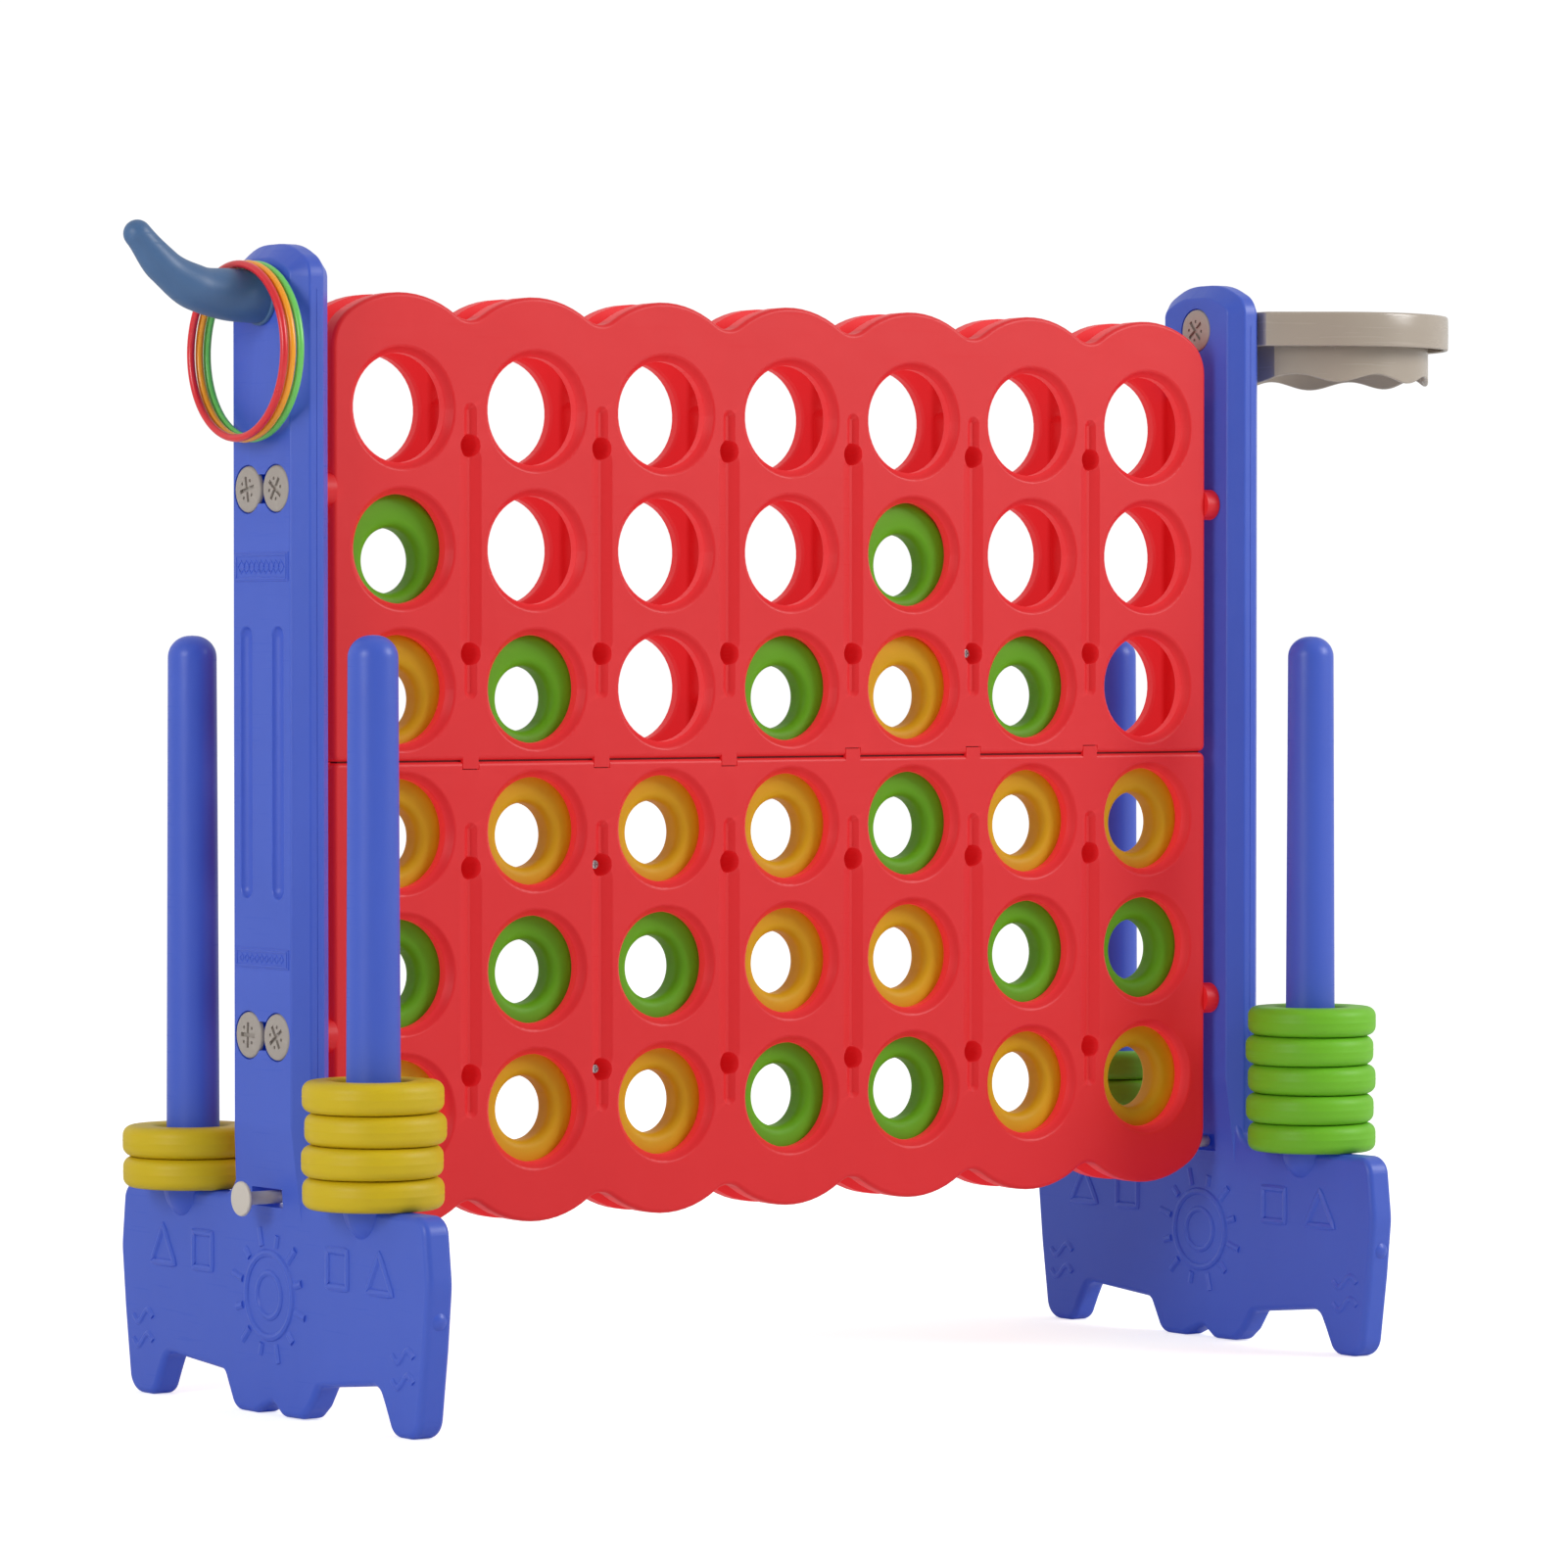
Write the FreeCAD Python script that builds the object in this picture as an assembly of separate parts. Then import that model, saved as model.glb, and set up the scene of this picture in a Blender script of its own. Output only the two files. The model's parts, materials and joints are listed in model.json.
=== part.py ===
"""Giant four-in-a-row lawn game: an upright board with seven ring columns, two side frames,
four storage pegs, a ring-toss horn with three hoops and a basketball rim."""
import FreeCAD
import Part
import math
import os

# All lengths in millimetres.  X runs along the board, Y through it, Z up from the ground.
# Everything is first built with X = 0 at the board's centre, then moved by SHIFT_X.

# --- board ---
COLUMNS = 7
COL_PITCH = 146.0
ROW_PITCH = 127.0
SEAM_Z = 585.0
FIRST_ROW = 65.0
BOARD_HALF = 513.0
SEAM_GAP = 0.8
PANEL_OUT = 33.0
PANEL_IN = 15.0
PANEL_EDGE_R = 4.0
WINDOW_R = 49.5
WINDOW_LIP = 6.5
WINDOW_LIP_DEEP = 7.0
WINDOW_LIP_R = 3.0
WINDOW_EDGE_R = 1.5
WINDOW_BACK_LIP = 3.0
SCALLOP_R = 104.0
SCALLOP_VALLEY_R = 24.0
CORNER_R = 40.0
SEAM_CORNER_R = 6.0
TONGUE_W = 17.0
TONGUE_H = 8.0
TONGUE_PLAY = 0.8
SOCKET_NEAR = 97.3
SOCKET_FAR = 286.2
SOCKET_R = 11.0
SOCKET_FLOOR_R = 8.0
SOCKET_FLOOR_Y = 6.0
GROOVE_NEAR = 56.0
GROOVE_FAR = 325.0
GROOVE_WIDE = 24.0
GROOVE_NARROW = 14.0
GROOVE_FLOOR = 3.0
GROOVE_DEEP = 4.0
RIB_NEAR = 50.0
RIB_FAR = 331.0
RIB_ROOT_HALF = 11.0
RIB_TIP_HALF = 8.0
RIB_GAP = 0.15
END_WALL = 9.0
END_WALL_NEAR = 14.0
END_WALL_FAR = 350.0
PANEL_WALL = 3.2
SIDE_BOSS_R = 15.0

# --- panel screws ---
SCREW_R = 2.0
SCREW_HOLE_R = 2.2
SCREW_HEAD_R = 4.6
SCREW_HEAD_H = 3.0
SCREW_END_Y = 16.0
SCREW_LOOSE = 12.5
LOOSE_SCREWS = ((4, 1, SOCKET_NEAR), (1, -1, SOCKET_NEAR), (1, -1, SOCKET_FAR))

# --- side frames: one post and one foot in a single hollow moulding ---
FRAME_X = 548.0
POST_HALF_T = 20.0
FOOT_HALF_T = 13.5
POST_HALF_Y = 60.0
POST_TOP = 1048.0
POST_SHOULDER = 1031.0
POST_CHAMFER = 13.0
POST_CREASE_R = 3.0
FOOT_EDGE_R = 6.0
FOOT_TOP = 195.0
FOOT_STUB_TOP = 285.0
POST_FADE_TOP = 262.0
POST_FADE_BOTTOM = 176.0
FRAME_WALL = 4.5
SLOT_Y = 26.0
SLOT_HALF_W = 10.0
SLOT_HALF_H = 122.0
SLOT_DEEP = 7.0
SLOT_LIP_R = 1.5
SLOT_R = 10.5
BOLT_RECESS_HALF_Y = 37.0
BOLT_RECESS_HALF_Z = 13.0
BOLT_RECESS_DEEP = 12.0
PLAQUES = ((760.0, 44.0, 13.0), (410.0, 44.0, 9.0))
PLAQUE_H = 0.9
PARTING_W = 0.6
PARTING_DEEP = 0.4
RELEASE_Z = 196.0
RELEASE_HALF_Y = 25.0
RELEASE_HALF_Z = 8.5

# --- pegs ---
PEG_Y = 150.0
PEG_BASE_R = 24.5
PEG_TOP_R = 22.3
PEG_TOP = 699.0
PEG_DOME_R = 20.0
PEG_WALL = 3.0
PEG_SPIGOT_R = FOOT_HALF_T - 2.5
PEG_SPIGOT_L = 44.0
PEG_PLAY = 0.4
BOSS_R = 27.0
BOSS_H = 30.0
NUB_R = 11.0
NUB_OUT = 3.0
NUB_Z = 105.0
NUB_END_Y = 253.8

# --- big plastic bolts ---
BOLT_Y = 23.2
BOLT_DZ = 244.5
BOLT_HEAD_R = 21.0
BOLT_HEAD_H = 7.0
BOLT_HEAD_EDGE = 2.5
BOLT_R = 7.5
BOLT_L = 66.0
BOLT_PLAY = 0.5
BOLT_SINK = 4.5
BOLT_SEAT_R = 22.0
BOLT_SEAT_GAP = 0.2
BOLT_SLOT_L = 24.0
BOLT_SLOT_W = 5.0
BOLT_SLOT_D = 3.0
TOP_BOLT_Z = 1003.0

# --- rings ---
RING_R = 62.5
RING_HOLE_R = 29.5
RING_T = 28.0
RING_EDGE_R = 9.0
RING_WALL = 2.5
RING_GAP = 0.4
BOARD_STACKS = (5, 4, 3, 4, 5, 4, 3)
PEG_STACKS = {"left_rear": 2, "left_front": 4, "right_front": 5, "right_rear": 3}

# --- release bar ---
BAR_R = 6.0
BAR_END_X = 545.0
BAR_END_GAP = 1.5
KNOB_R = 15.7
KNOB_T = 5.0
KNOB_OUT = 20.0

# --- ring-toss horn: centre-line points out from the left post and radius at each ---
HORN_PATH = ((0.0, 1001.0, 24.0), (32.0, 1001.5, 23.4), (68.0, 1006.5, 20.3), (101.0, 1024.5, 16.2), (128.0, 1052.0, 12.5))
HORN_FLANGE_R = 26.0
HORN_FLANGE_T = 4.0

# --- toss hoops ---
TOSS_R = 77.5
TOSS_TUBE_R = 3.5
TOSS_OUT = {"toss_hoop_green": 8.5, "toss_hoop_orange": 17.0, "toss_hoop_red": 25.5}
TOSS_GAP = 0.8

# --- basketball rim ---
RIM_OUT = 130.0
RIM_R = 125.0
RIM_NECK = 60.0
RIM_WALL = 3.5
RIM_TOP = 1021.0
RIM_BAND_H = 34.0
SKIRT_R = 105.0
SKIRT_BOTTOM = 952.0
SKIRT_WAVE = 4.0
SKIRT_WAVES = 8
SKIRT_PHASE = math.pi
RIM_BOSS_R = 14.0

# Moves the board-centred model so that its bounding box is centred on X = 0.
HORN_TIP = POST_HALF_T + FRAME_X + HORN_PATH[-1][0] + HORN_PATH[-1][2]
RIM_TIP = POST_HALF_T + FRAME_X + RIM_OUT + RIM_R
SHIFT_X = (HORN_TIP - RIM_TIP) / 2.0

POST_OUT = FRAME_X + POST_HALF_T
POST_IN = FRAME_X - POST_HALF_T
TOP_BOLT_REACH = POST_IN + BOLT_SINK + BOLT_L - POST_OUT
AX = FreeCAD.Vector(1, 0, 0)
AY = FreeCAD.Vector(0, 1, 0)
AZ = FreeCAD.Vector(0, 0, 1)


def vec(x, y, z):
    return FreeCAD.Vector(x, y, z)


def box(x0, x1, y0, y1, z0, z1):
    return Part.makeBox(x1 - x0, y1 - y0, z1 - z0, vec(x0, y0, z0))


def column_x(index):
    """Centre X of a column; index 0 is the leftmost."""
    return (index - (COLUMNS - 1) / 2.0) * COL_PITCH


def boundary_x(index):
    """X of the line between column index and the next one."""
    return column_x(index) + COL_PITCH / 2.0


def rounded_wire(corners, place):
    """Closed wire through corners (a, b, radius), each corner rounded; place maps (a, b) to a point."""
    count = len(corners)
    starts = []
    ends = []
    middles = []
    for i in range(count):
        a, b, radius = corners[i]
        pa, pb = corners[i - 1][0], corners[i - 1][1]
        na, nb = corners[(i + 1) % count][0], corners[(i + 1) % count][1]
        back = math.hypot(pa - a, pb - b)
        ahead = math.hypot(na - a, nb - b)
        ua, ub = (pa - a) / back, (pb - b) / back
        va, vb = (na - a) / ahead, (nb - b) / ahead
        angle = math.acos(max(-1.0, min(1.0, ua * va + ub * vb)))
        if radius <= 0 or abs(angle - math.pi) < 1e-6:
            starts.append((a, b))
            ends.append((a, b))
            middles.append(None)
            continue
        reach = radius / math.tan(angle / 2.0)
        ma, mb = ua + va, ub + vb
        size = math.hypot(ma, mb)
        ma, mb = ma / size, mb / size
        depth = radius / math.sin(angle / 2.0) - radius
        starts.append((a + ua * reach, b + ub * reach))
        ends.append((a + va * reach, b + vb * reach))
        middles.append((a + ma * depth, b + mb * depth))
    edges = []
    for i in range(count):
        if middles[i] is not None:
            edges.append(Part.Arc(place(*starts[i]), place(*middles[i]), place(*ends[i])).toShape())
        follow = starts[(i + 1) % count]
        if math.hypot(follow[0] - ends[i][0], follow[1] - ends[i][1]) > 1e-6:
            edges.append(Part.LineSegment(place(*ends[i]), place(*follow)).toShape())
    return Part.Wire(edges)


def plate(wire, direction):
    return Part.Face(wire).extrude(direction)


def fillet_or_keep(shape, radius, edges):
    """Rounds the edges; keeps the sharp shape if the rounding can't be built."""
    try:
        rounded = shape.makeFillet(radius, edges)
        if rounded.isValid() and rounded.Volume > 0:
            return rounded
    except Exception:
        print("fillet skipped, radius", radius)
    return shape


def edges_in_plane(shape, axis, value):
    """Edges that lie wholly in the plane where the chosen coordinate equals value."""
    found = []
    for edge in shape.Edges:
        bb = edge.BoundBox
        low = getattr(bb, axis + "Min")
        high = getattr(bb, axis + "Max")
        if abs(low - value) < 0.01 and abs(high - value) < 0.01:
            found.append(edge)
    return found


# ---------------------------------------------------------------- board panels

def panel_outline(inset, y):
    """Scalloped outline of the upper panel, drawn inset from its true edge, at depth y."""
    half = BOARD_HALF - inset
    low = SEAM_Z + SEAM_GAP + inset
    top_row = SEAM_Z + FIRST_ROW + 2 * ROW_PITCH
    radius = SCALLOP_R - inset
    valley = SCALLOP_VALLEY_R + inset
    valley_dz = math.sqrt((SCALLOP_R + SCALLOP_VALLEY_R) ** 2 - (COL_PITCH / 2.0) ** 2)
    touch = math.atan2(valley_dz, COL_PITCH / 2.0)
    corner = CORNER_R - inset
    corner_dx = BOARD_HALF - CORNER_R - column_x(COLUMNS - 1)
    corner_dz = math.sqrt((SCALLOP_R - CORNER_R) ** 2 - corner_dx ** 2)
    corner_angle = math.atan2(corner_dz, corner_dx)
    foot_r = SEAM_CORNER_R

    def at(cx, cz, r, angle):
        return vec(cx + r * math.cos(angle), y, cz + r * math.sin(angle))

    edges = []
    left = column_x(0)
    right = column_x(COLUMNS - 1)
    side_z = top_row + corner_dz
    c_left = left - corner_dx
    c_right = right + corner_dx
    edges.append(Part.LineSegment(vec(-half, y, low + foot_r), vec(-half, y, side_z)).toShape())
    a0 = math.pi
    a1 = math.pi - corner_angle
    edges.append(Part.Arc(at(c_left, side_z, corner, a0), at(c_left, side_z, corner, (a0 + a1) / 2),
                          at(c_left, side_z, corner, a1)).toShape())
    for i in range(COLUMNS):
        cx = column_x(i)
        begin = a1 if i == 0 else math.pi - touch
        finish = corner_angle if i == COLUMNS - 1 else touch
        edges.append(Part.Arc(at(cx, top_row, radius, begin), at(cx, top_row, radius, (begin + finish) / 2),
                              at(cx, top_row, radius, finish)).toShape())
        if i < COLUMNS - 1:
            bx = boundary_x(i)
            bz = top_row + valley_dz
            b0 = math.pi + touch
            b1 = 2 * math.pi - touch
            edges.append(Part.Arc(at(bx, bz, valley, b0), at(bx, bz, valley, (b0 + b1) / 2),
                                  at(bx, bz, valley, b1)).toShape())
    edges.append(Part.Arc(at(c_right, side_z, corner, corner_angle), at(c_right, side_z, corner, corner_angle / 2),
                          at(c_right, side_z, corner, 0.0)).toShape())
    edges.append(Part.LineSegment(vec(half, y, side_z), vec(half, y, low + foot_r)).toShape())
    edges.append(Part.Arc(at(half - foot_r, low + foot_r, foot_r, 0.0),
                          at(half - foot_r, low + foot_r, foot_r, -math.pi / 4),
                          at(half - foot_r, low + foot_r, foot_r, -math.pi / 2)).toShape())
    edges.append(Part.LineSegment(vec(half - foot_r, y, low), vec(-half + foot_r, y, low)).toShape())
    edges.append(Part.Arc(at(-half + foot_r, low + foot_r, foot_r, -math.pi / 2),
                          at(-half + foot_r, low + foot_r, foot_r, -3 * math.pi / 4),
                          at(-half + foot_r, low + foot_r, foot_r, -math.pi)).toShape())
    return Part.Wire(edges)


def stadium(cx, z0, z1, half, y):
    """Vertical slot outline with round ends."""
    corners = ((cx - half, z0, half * 0.999), (cx + half, z0, half * 0.999),
               (cx + half, z1, half * 0.999), (cx - half, z1, half * 0.999))
    return rounded_wire(corners, lambda a, b: vec(a, y, b))


def window_cutter(cx, cz):
    """Bore with a conical lip on the outer face and a small rounded one on the inner face."""
    slope = math.atan2(WINDOW_LIP_DEEP, WINDOW_LIP)
    wide = WINDOW_R + WINDOW_LIP + WINDOW_LIP_R * math.tan(slope / 2.0)
    back = WINDOW_R + WINDOW_BACK_LIP
    corners = ((0.0, -PANEL_OUT - 2.0, 0.0), (wide, -PANEL_OUT - 2.0, 0.0), (wide, -PANEL_OUT, 0.0),
               (WINDOW_R + WINDOW_LIP, -PANEL_OUT, WINDOW_LIP_R),
               (WINDOW_R, -PANEL_OUT + WINDOW_LIP_DEEP, WINDOW_EDGE_R),
               (WINDOW_R, -PANEL_IN, WINDOW_BACK_LIP), (back, -PANEL_IN, 0.0), (back, -PANEL_IN + 2.0, 0.0),
               (0.0, -PANEL_IN + 2.0, 0.0))
    outline = rounded_wire(corners, lambda a, b: vec(a, b, 0))
    cutter = Part.Face(outline).revolve(vec(0, 0, 0), AY, 360)
    cutter.translate(vec(cx, 0, cz))
    return cutter


def panel_cavity():
    """The hollow inside one panel: a slab less the tubes round every window, rib, socket and bolt."""
    inner = plate(panel_outline(PANEL_WALL, -PANEL_OUT + PANEL_WALL), vec(0, PANEL_OUT - PANEL_IN - 2 * PANEL_WALL, 0))
    keep = []
    depth = PANEL_OUT - PANEL_IN
    for i in range(COLUMNS):
        for row in range(3):
            z = SEAM_Z + FIRST_ROW + row * ROW_PITCH
            keep.append(Part.makeCylinder(WINDOW_R + WINDOW_LIP + 1.0, depth, vec(column_x(i), -PANEL_OUT, z), AY))
    for i in range(COLUMNS - 1):
        x = boundary_x(i)
        keep.append(box(x - 18.0, x + 18.0, -PANEL_OUT, -PANEL_IN, SEAM_Z - 12.0, SEAM_Z + RIB_FAR + 5.0))
    for side in (-1, 1):
        x0 = side * (BOARD_HALF - 22.0)
        x1 = side * (BOARD_HALF + 1.0)
        z = SEAM_Z + BOLT_DZ
        keep.append(box(min(x0, x1), max(x0, x1), -PANEL_OUT, -PANEL_IN, z - 16.0, z + 16.0))
    return inner.cut(keep)


def tongues():
    """Tongues that reach down across the seam, on the left-hand lines between columns."""
    low = SEAM_Z + SEAM_GAP
    solids = []
    for i in range(COLUMNS - 1):
        x = boundary_x(i)
        if x < 0:
            solids.append(box(x - TONGUE_W / 2.0, x + TONGUE_W / 2.0, -PANEL_OUT, -PANEL_IN,
                              low - TONGUE_H, low + 4.0))
    return solids


def notch_cutters():
    """Notches on the right-hand lines, which take the tongues of the panel below."""
    half = TONGUE_W / 2.0 + TONGUE_PLAY
    cutters = []
    for i in range(COLUMNS - 1):
        x = boundary_x(i)
        if x > 0:
            cutters.append(box(x - half, x + half, -PANEL_OUT - 1, -PANEL_IN + 1,
                               SEAM_Z + SEAM_GAP - 2.0, SEAM_Z + TONGUE_H))
    return cutters


def groove_cutter(x, z0, z1, width):
    """Groove with sloping sides and ends down to a narrow flat floor."""
    half = width / 2.0
    inset = half - GROOVE_FLOOR / 2.0
    flare = inset / GROOVE_DEEP
    mouth = stadium(x, z0 - flare, z1 + flare, half + flare, -PANEL_OUT - 1.0)
    floor = stadium(x, z0 + inset, z1 - inset, GROOVE_FLOOR / 2.0, -PANEL_OUT + GROOVE_DEEP)
    return Part.makeLoft([mouth, floor], True, True)


def groove_cutters():
    """Shallow grooves in the outer face on each line: wide between the sockets, slim beyond them."""
    cutters = []
    for i in range(COLUMNS - 1):
        x = boundary_x(i)
        cutters.append(groove_cutter(x, SEAM_Z + SOCKET_NEAR, SEAM_Z + SOCKET_FAR, GROOVE_WIDE))
        cutters.append(groove_cutter(x, SEAM_Z + GROOVE_NEAR, SEAM_Z + SOCKET_NEAR + SOCKET_R, GROOVE_NARROW))
        cutters.append(groove_cutter(x, SEAM_Z + SOCKET_FAR - SOCKET_R, SEAM_Z + GROOVE_FAR, GROOVE_NARROW))
    return cutters


def socket_cutters():
    """Tapered screw sockets, with the screw holes at their floors."""
    cutters = []
    for i in range(COLUMNS - 1):
        for dz in (SOCKET_NEAR, SOCKET_FAR):
            base = vec(boundary_x(i), -PANEL_OUT - 0.5, SEAM_Z + dz)
            cutters.append(Part.makeCone(SOCKET_R, SOCKET_FLOOR_R, PANEL_OUT + 0.5 - SOCKET_FLOOR_Y, base, AY))
            cutters.append(Part.makeCylinder(SCREW_HOLE_R, PANEL_OUT + 1.0, base, AY))
    return cutters


def bolt_cutters():
    """Holes into both side edges for the big bolts."""
    bolt_in = POST_OUT - BOLT_SINK - BOLT_L - 1.0
    cutters = []
    for side in (-1, 1):
        hole = vec(side * bolt_in, -BOLT_Y, SEAM_Z + BOLT_DZ)
        cutters.append(Part.makeCylinder(BOLT_R + BOLT_PLAY, POST_OUT - bolt_in, hole, AX * side))
    return cutters


def window_cutters():
    """Round sight windows, three to a column."""
    cutters = []
    for i in range(COLUMNS):
        for row in range(3):
            cutters.append(window_cutter(column_x(i), SEAM_Z + FIRST_ROW + row * ROW_PITCH))
    return cutters


def column_dividers():
    """Tapered ribs on the inner face that keep the columns apart, and a wall at each end."""
    solids = []
    for i in range(COLUMNS - 1):
        x = boundary_x(i)
        root = stadium(x, SEAM_Z + RIB_NEAR, SEAM_Z + RIB_FAR, RIB_ROOT_HALF, -PANEL_IN - 1.0)
        tip = stadium(x, SEAM_Z + RIB_NEAR + 3.0, SEAM_Z + RIB_FAR - 3.0, RIB_TIP_HALF, -RIB_GAP)
        solids.append(Part.makeLoft([root, tip], True, True))
    for side in (-1, 1):
        ends = sorted((side * (BOARD_HALF - END_WALL), side * (BOARD_HALF - 0.5)))
        solids.append(box(ends[0], ends[1], -PANEL_IN - 1.0, -RIB_GAP,
                          SEAM_Z + END_WALL_NEAR, SEAM_Z + END_WALL_FAR))
    return solids


def side_bosses():
    """Round bosses on the side edges that bridge the gap to the posts."""
    root = BOARD_HALF - 1.0
    tip = POST_IN - 0.3
    solids = []
    for side in (-1, 1):
        start = vec(side * root, -BOLT_Y, SEAM_Z + BOLT_DZ)
        boss = Part.makeCylinder(SIDE_BOSS_R, tip - root, start, AX * side)
        solids.append(fillet_or_keep(boss, 1.5, edges_in_plane(boss, "X", side * tip)))
    return solids


def upper_front_panel():
    """One board panel, a single hollow moulding; the other three are the same one turned round."""
    body = plate(panel_outline(0.0, -PANEL_OUT), vec(0, PANEL_OUT - PANEL_IN, 0))
    body = fillet_or_keep(body, PANEL_EDGE_R, edges_in_plane(body, "Y", -PANEL_OUT))
    body = body.fuse(tongues() + column_dividers() + side_bosses())
    body = body.cut(notch_cutters() + groove_cutters() + socket_cutters() + bolt_cutters() + window_cutters())
    return body.cut(panel_cavity())


def turned(shape, axis):
    """The shape turned half a turn about an axis through the middle of the board."""
    copy = shape.copy()
    copy.rotate(vec(0, 0, SEAM_Z), axis, 180)
    return copy


def panel_screw():
    """Round-headed cross screw along Y, its head seated at the origin."""
    head = Part.makeCylinder(SCREW_HEAD_R, SCREW_HEAD_H, vec(0, -SCREW_HEAD_H, 0), AY)
    head = fillet_or_keep(head, 1.2, edges_in_plane(head, "Y", -SCREW_HEAD_H))
    for turn in (0, 90):
        slot = box(-2.8, 2.8, -SCREW_HEAD_H - 1.0, -1.4, -0.6, 0.6)
        slot.rotate(vec(0, 0, 0), AY, turn)
        head = head.cut(slot)
    shaft = Part.makeCylinder(SCREW_R, SCREW_END_Y + SOCKET_FLOOR_Y + 0.5, vec(0, -0.5, 0), AY)
    return head.fuse(shaft)


def panel_screws():
    """Screws in the front sockets, holding the panels together in pairs; three are not driven home."""
    screw = panel_screw()
    screws = []
    for i in range(COLUMNS - 1):
        for side in (-1, 1):
            for dz in (SOCKET_NEAR, SOCKET_FAR):
                proud = SCREW_LOOSE if (i, side, dz) in LOOSE_SCREWS else 0.0
                copy = screw.copy()
                copy.translate(vec(boundary_x(i), -SOCKET_FLOOR_Y - 0.1 - proud, SEAM_Z + side * dz))
                screws.append(copy)
    return Part.makeCompound(screws)


# ---------------------------------------------------------------- side frames

def post_corners(low, inset):
    half = POST_HALF_Y - inset
    top = POST_TOP - inset
    shoulder = POST_SHOULDER - inset
    return ((-half, low, 0.0), (half, low, 0.0), (half, shoulder, 22.0 - inset), (half * 0.42, top, 70.0),
            (-half * 0.42, top, 70.0), (-half, shoulder, 22.0 - inset))


def foot_corners(inset):
    """Foot outline: two legs, an arch, a two-lobed bump in the middle and the stub of the post."""
    post = POST_HALF_Y - inset
    stub = post - POST_CHAMFER
    top = FOOT_TOP - inset
    low = inset
    return ((240.0 - inset, low, 20.0), (251.0 - inset, 78.0, 60.0), (257.0 - inset, 135.0, 60.0),
            (250.0 - inset, top, 18.0), (post, top, 25.0), (stub, FOOT_STUB_TOP, 0.0),
            (-stub, FOOT_STUB_TOP, 0.0), (-post, top, 25.0), (-250.0 + inset, top, 18.0),
            (-257.0 + inset, 135.0, 60.0), (-251.0 + inset, 78.0, 60.0), (-240.0 + inset, low, 20.0),
            (-198.0 - inset, low, 16.0), (-186.0 - inset, 24.0, 20.0), (-176.0 - inset, 42.0 + inset, 14.0),
            (-80.0, 32.0 + inset, 8.0), (-66.0 + inset, low + 12.0, 14.0), (-52.0 + inset, low + 1.0, 12.0),
            (-20.0, low + 0.5, 12.0), (-4.0, low + 12.0, 8.0), (24.0, low, 12.0), (60.0 - inset, low, 16.0),
            (78.0 - inset, 34.0 + inset, 10.0), (176.0 + inset, 42.0 + inset, 14.0),
            (186.0 + inset, 24.0, 20.0), (198.0 + inset, low, 16.0))


def foot_wire(x, inset):
    return rounded_wire(foot_corners(inset), lambda a, b: vec(x, a, b))


def post_wire(x, low, inset):
    return rounded_wire(post_corners(low, inset), lambda a, b: vec(x, a, b))


def fade_cutters(half_from, half_to):
    """Two prisms that taper the lower end of the post down to the thickness of the foot."""
    cutters = []
    for side in (-1, 1):
        x0 = FRAME_X + side * half_from
        x1 = FRAME_X + side * half_to
        far = FRAME_X + side * (half_from + 30.0)
        points = [vec(x0, -90, POST_FADE_TOP), vec(x1, -90, POST_FADE_BOTTOM), vec(x1, -90, POST_FADE_BOTTOM - 80.0),
                  vec(far, -90, POST_FADE_BOTTOM - 80.0), vec(far, -90, POST_FADE_TOP)]
        points.append(points[0])
        cutters.append(Part.Face(Part.makePolygon(points)).extrude(vec(0, 180, 0)))
    return cutters


def post_block(low, inset, crease):
    """Post with all its long edges chamfered; crease is the rounding of the chamfers' own edges."""
    half = POST_HALF_T - inset
    chamfer = POST_CHAMFER - (2.0 - math.sqrt(2.0)) * inset
    block = plate(post_wire(FRAME_X - half, low, inset), vec(2 * half, 0, 0))
    block = block.makeChamfer(chamfer, side_edges(block, (-half, half), low))
    if crease > 0:
        flat = half - chamfer
        block = fillet_or_keep(block, crease, side_edges(block, (-half, -flat, flat, half), low))
    return block.cut(fade_cutters(half, FOOT_HALF_T - inset))


def side_edges(block, offsets, low):
    """Edges in the planes at these distances from the middle of the frame, leaving out the bottom ones."""
    edges = []
    for offset in offsets:
        for edge in edges_in_plane(block, "X", FRAME_X + offset):
            if edge.BoundBox.ZMax > low + 0.5:
                edges.append(edge)
    return edges


def foot_block(inset, rounding):
    half = FOOT_HALF_T - inset
    block = plate(foot_wire(FRAME_X - half, inset), vec(2 * half, 0, 0))
    if rounding > 0:
        edges = []
        for x in (FRAME_X - half, FRAME_X + half):
            for edge in edges_in_plane(block, "X", x):
                if edge.BoundBox.ZMin < FOOT_STUB_TOP - 0.5:
                    edges.append(edge)
        block = fillet_or_keep(block, rounding, edges)
    return block


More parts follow.
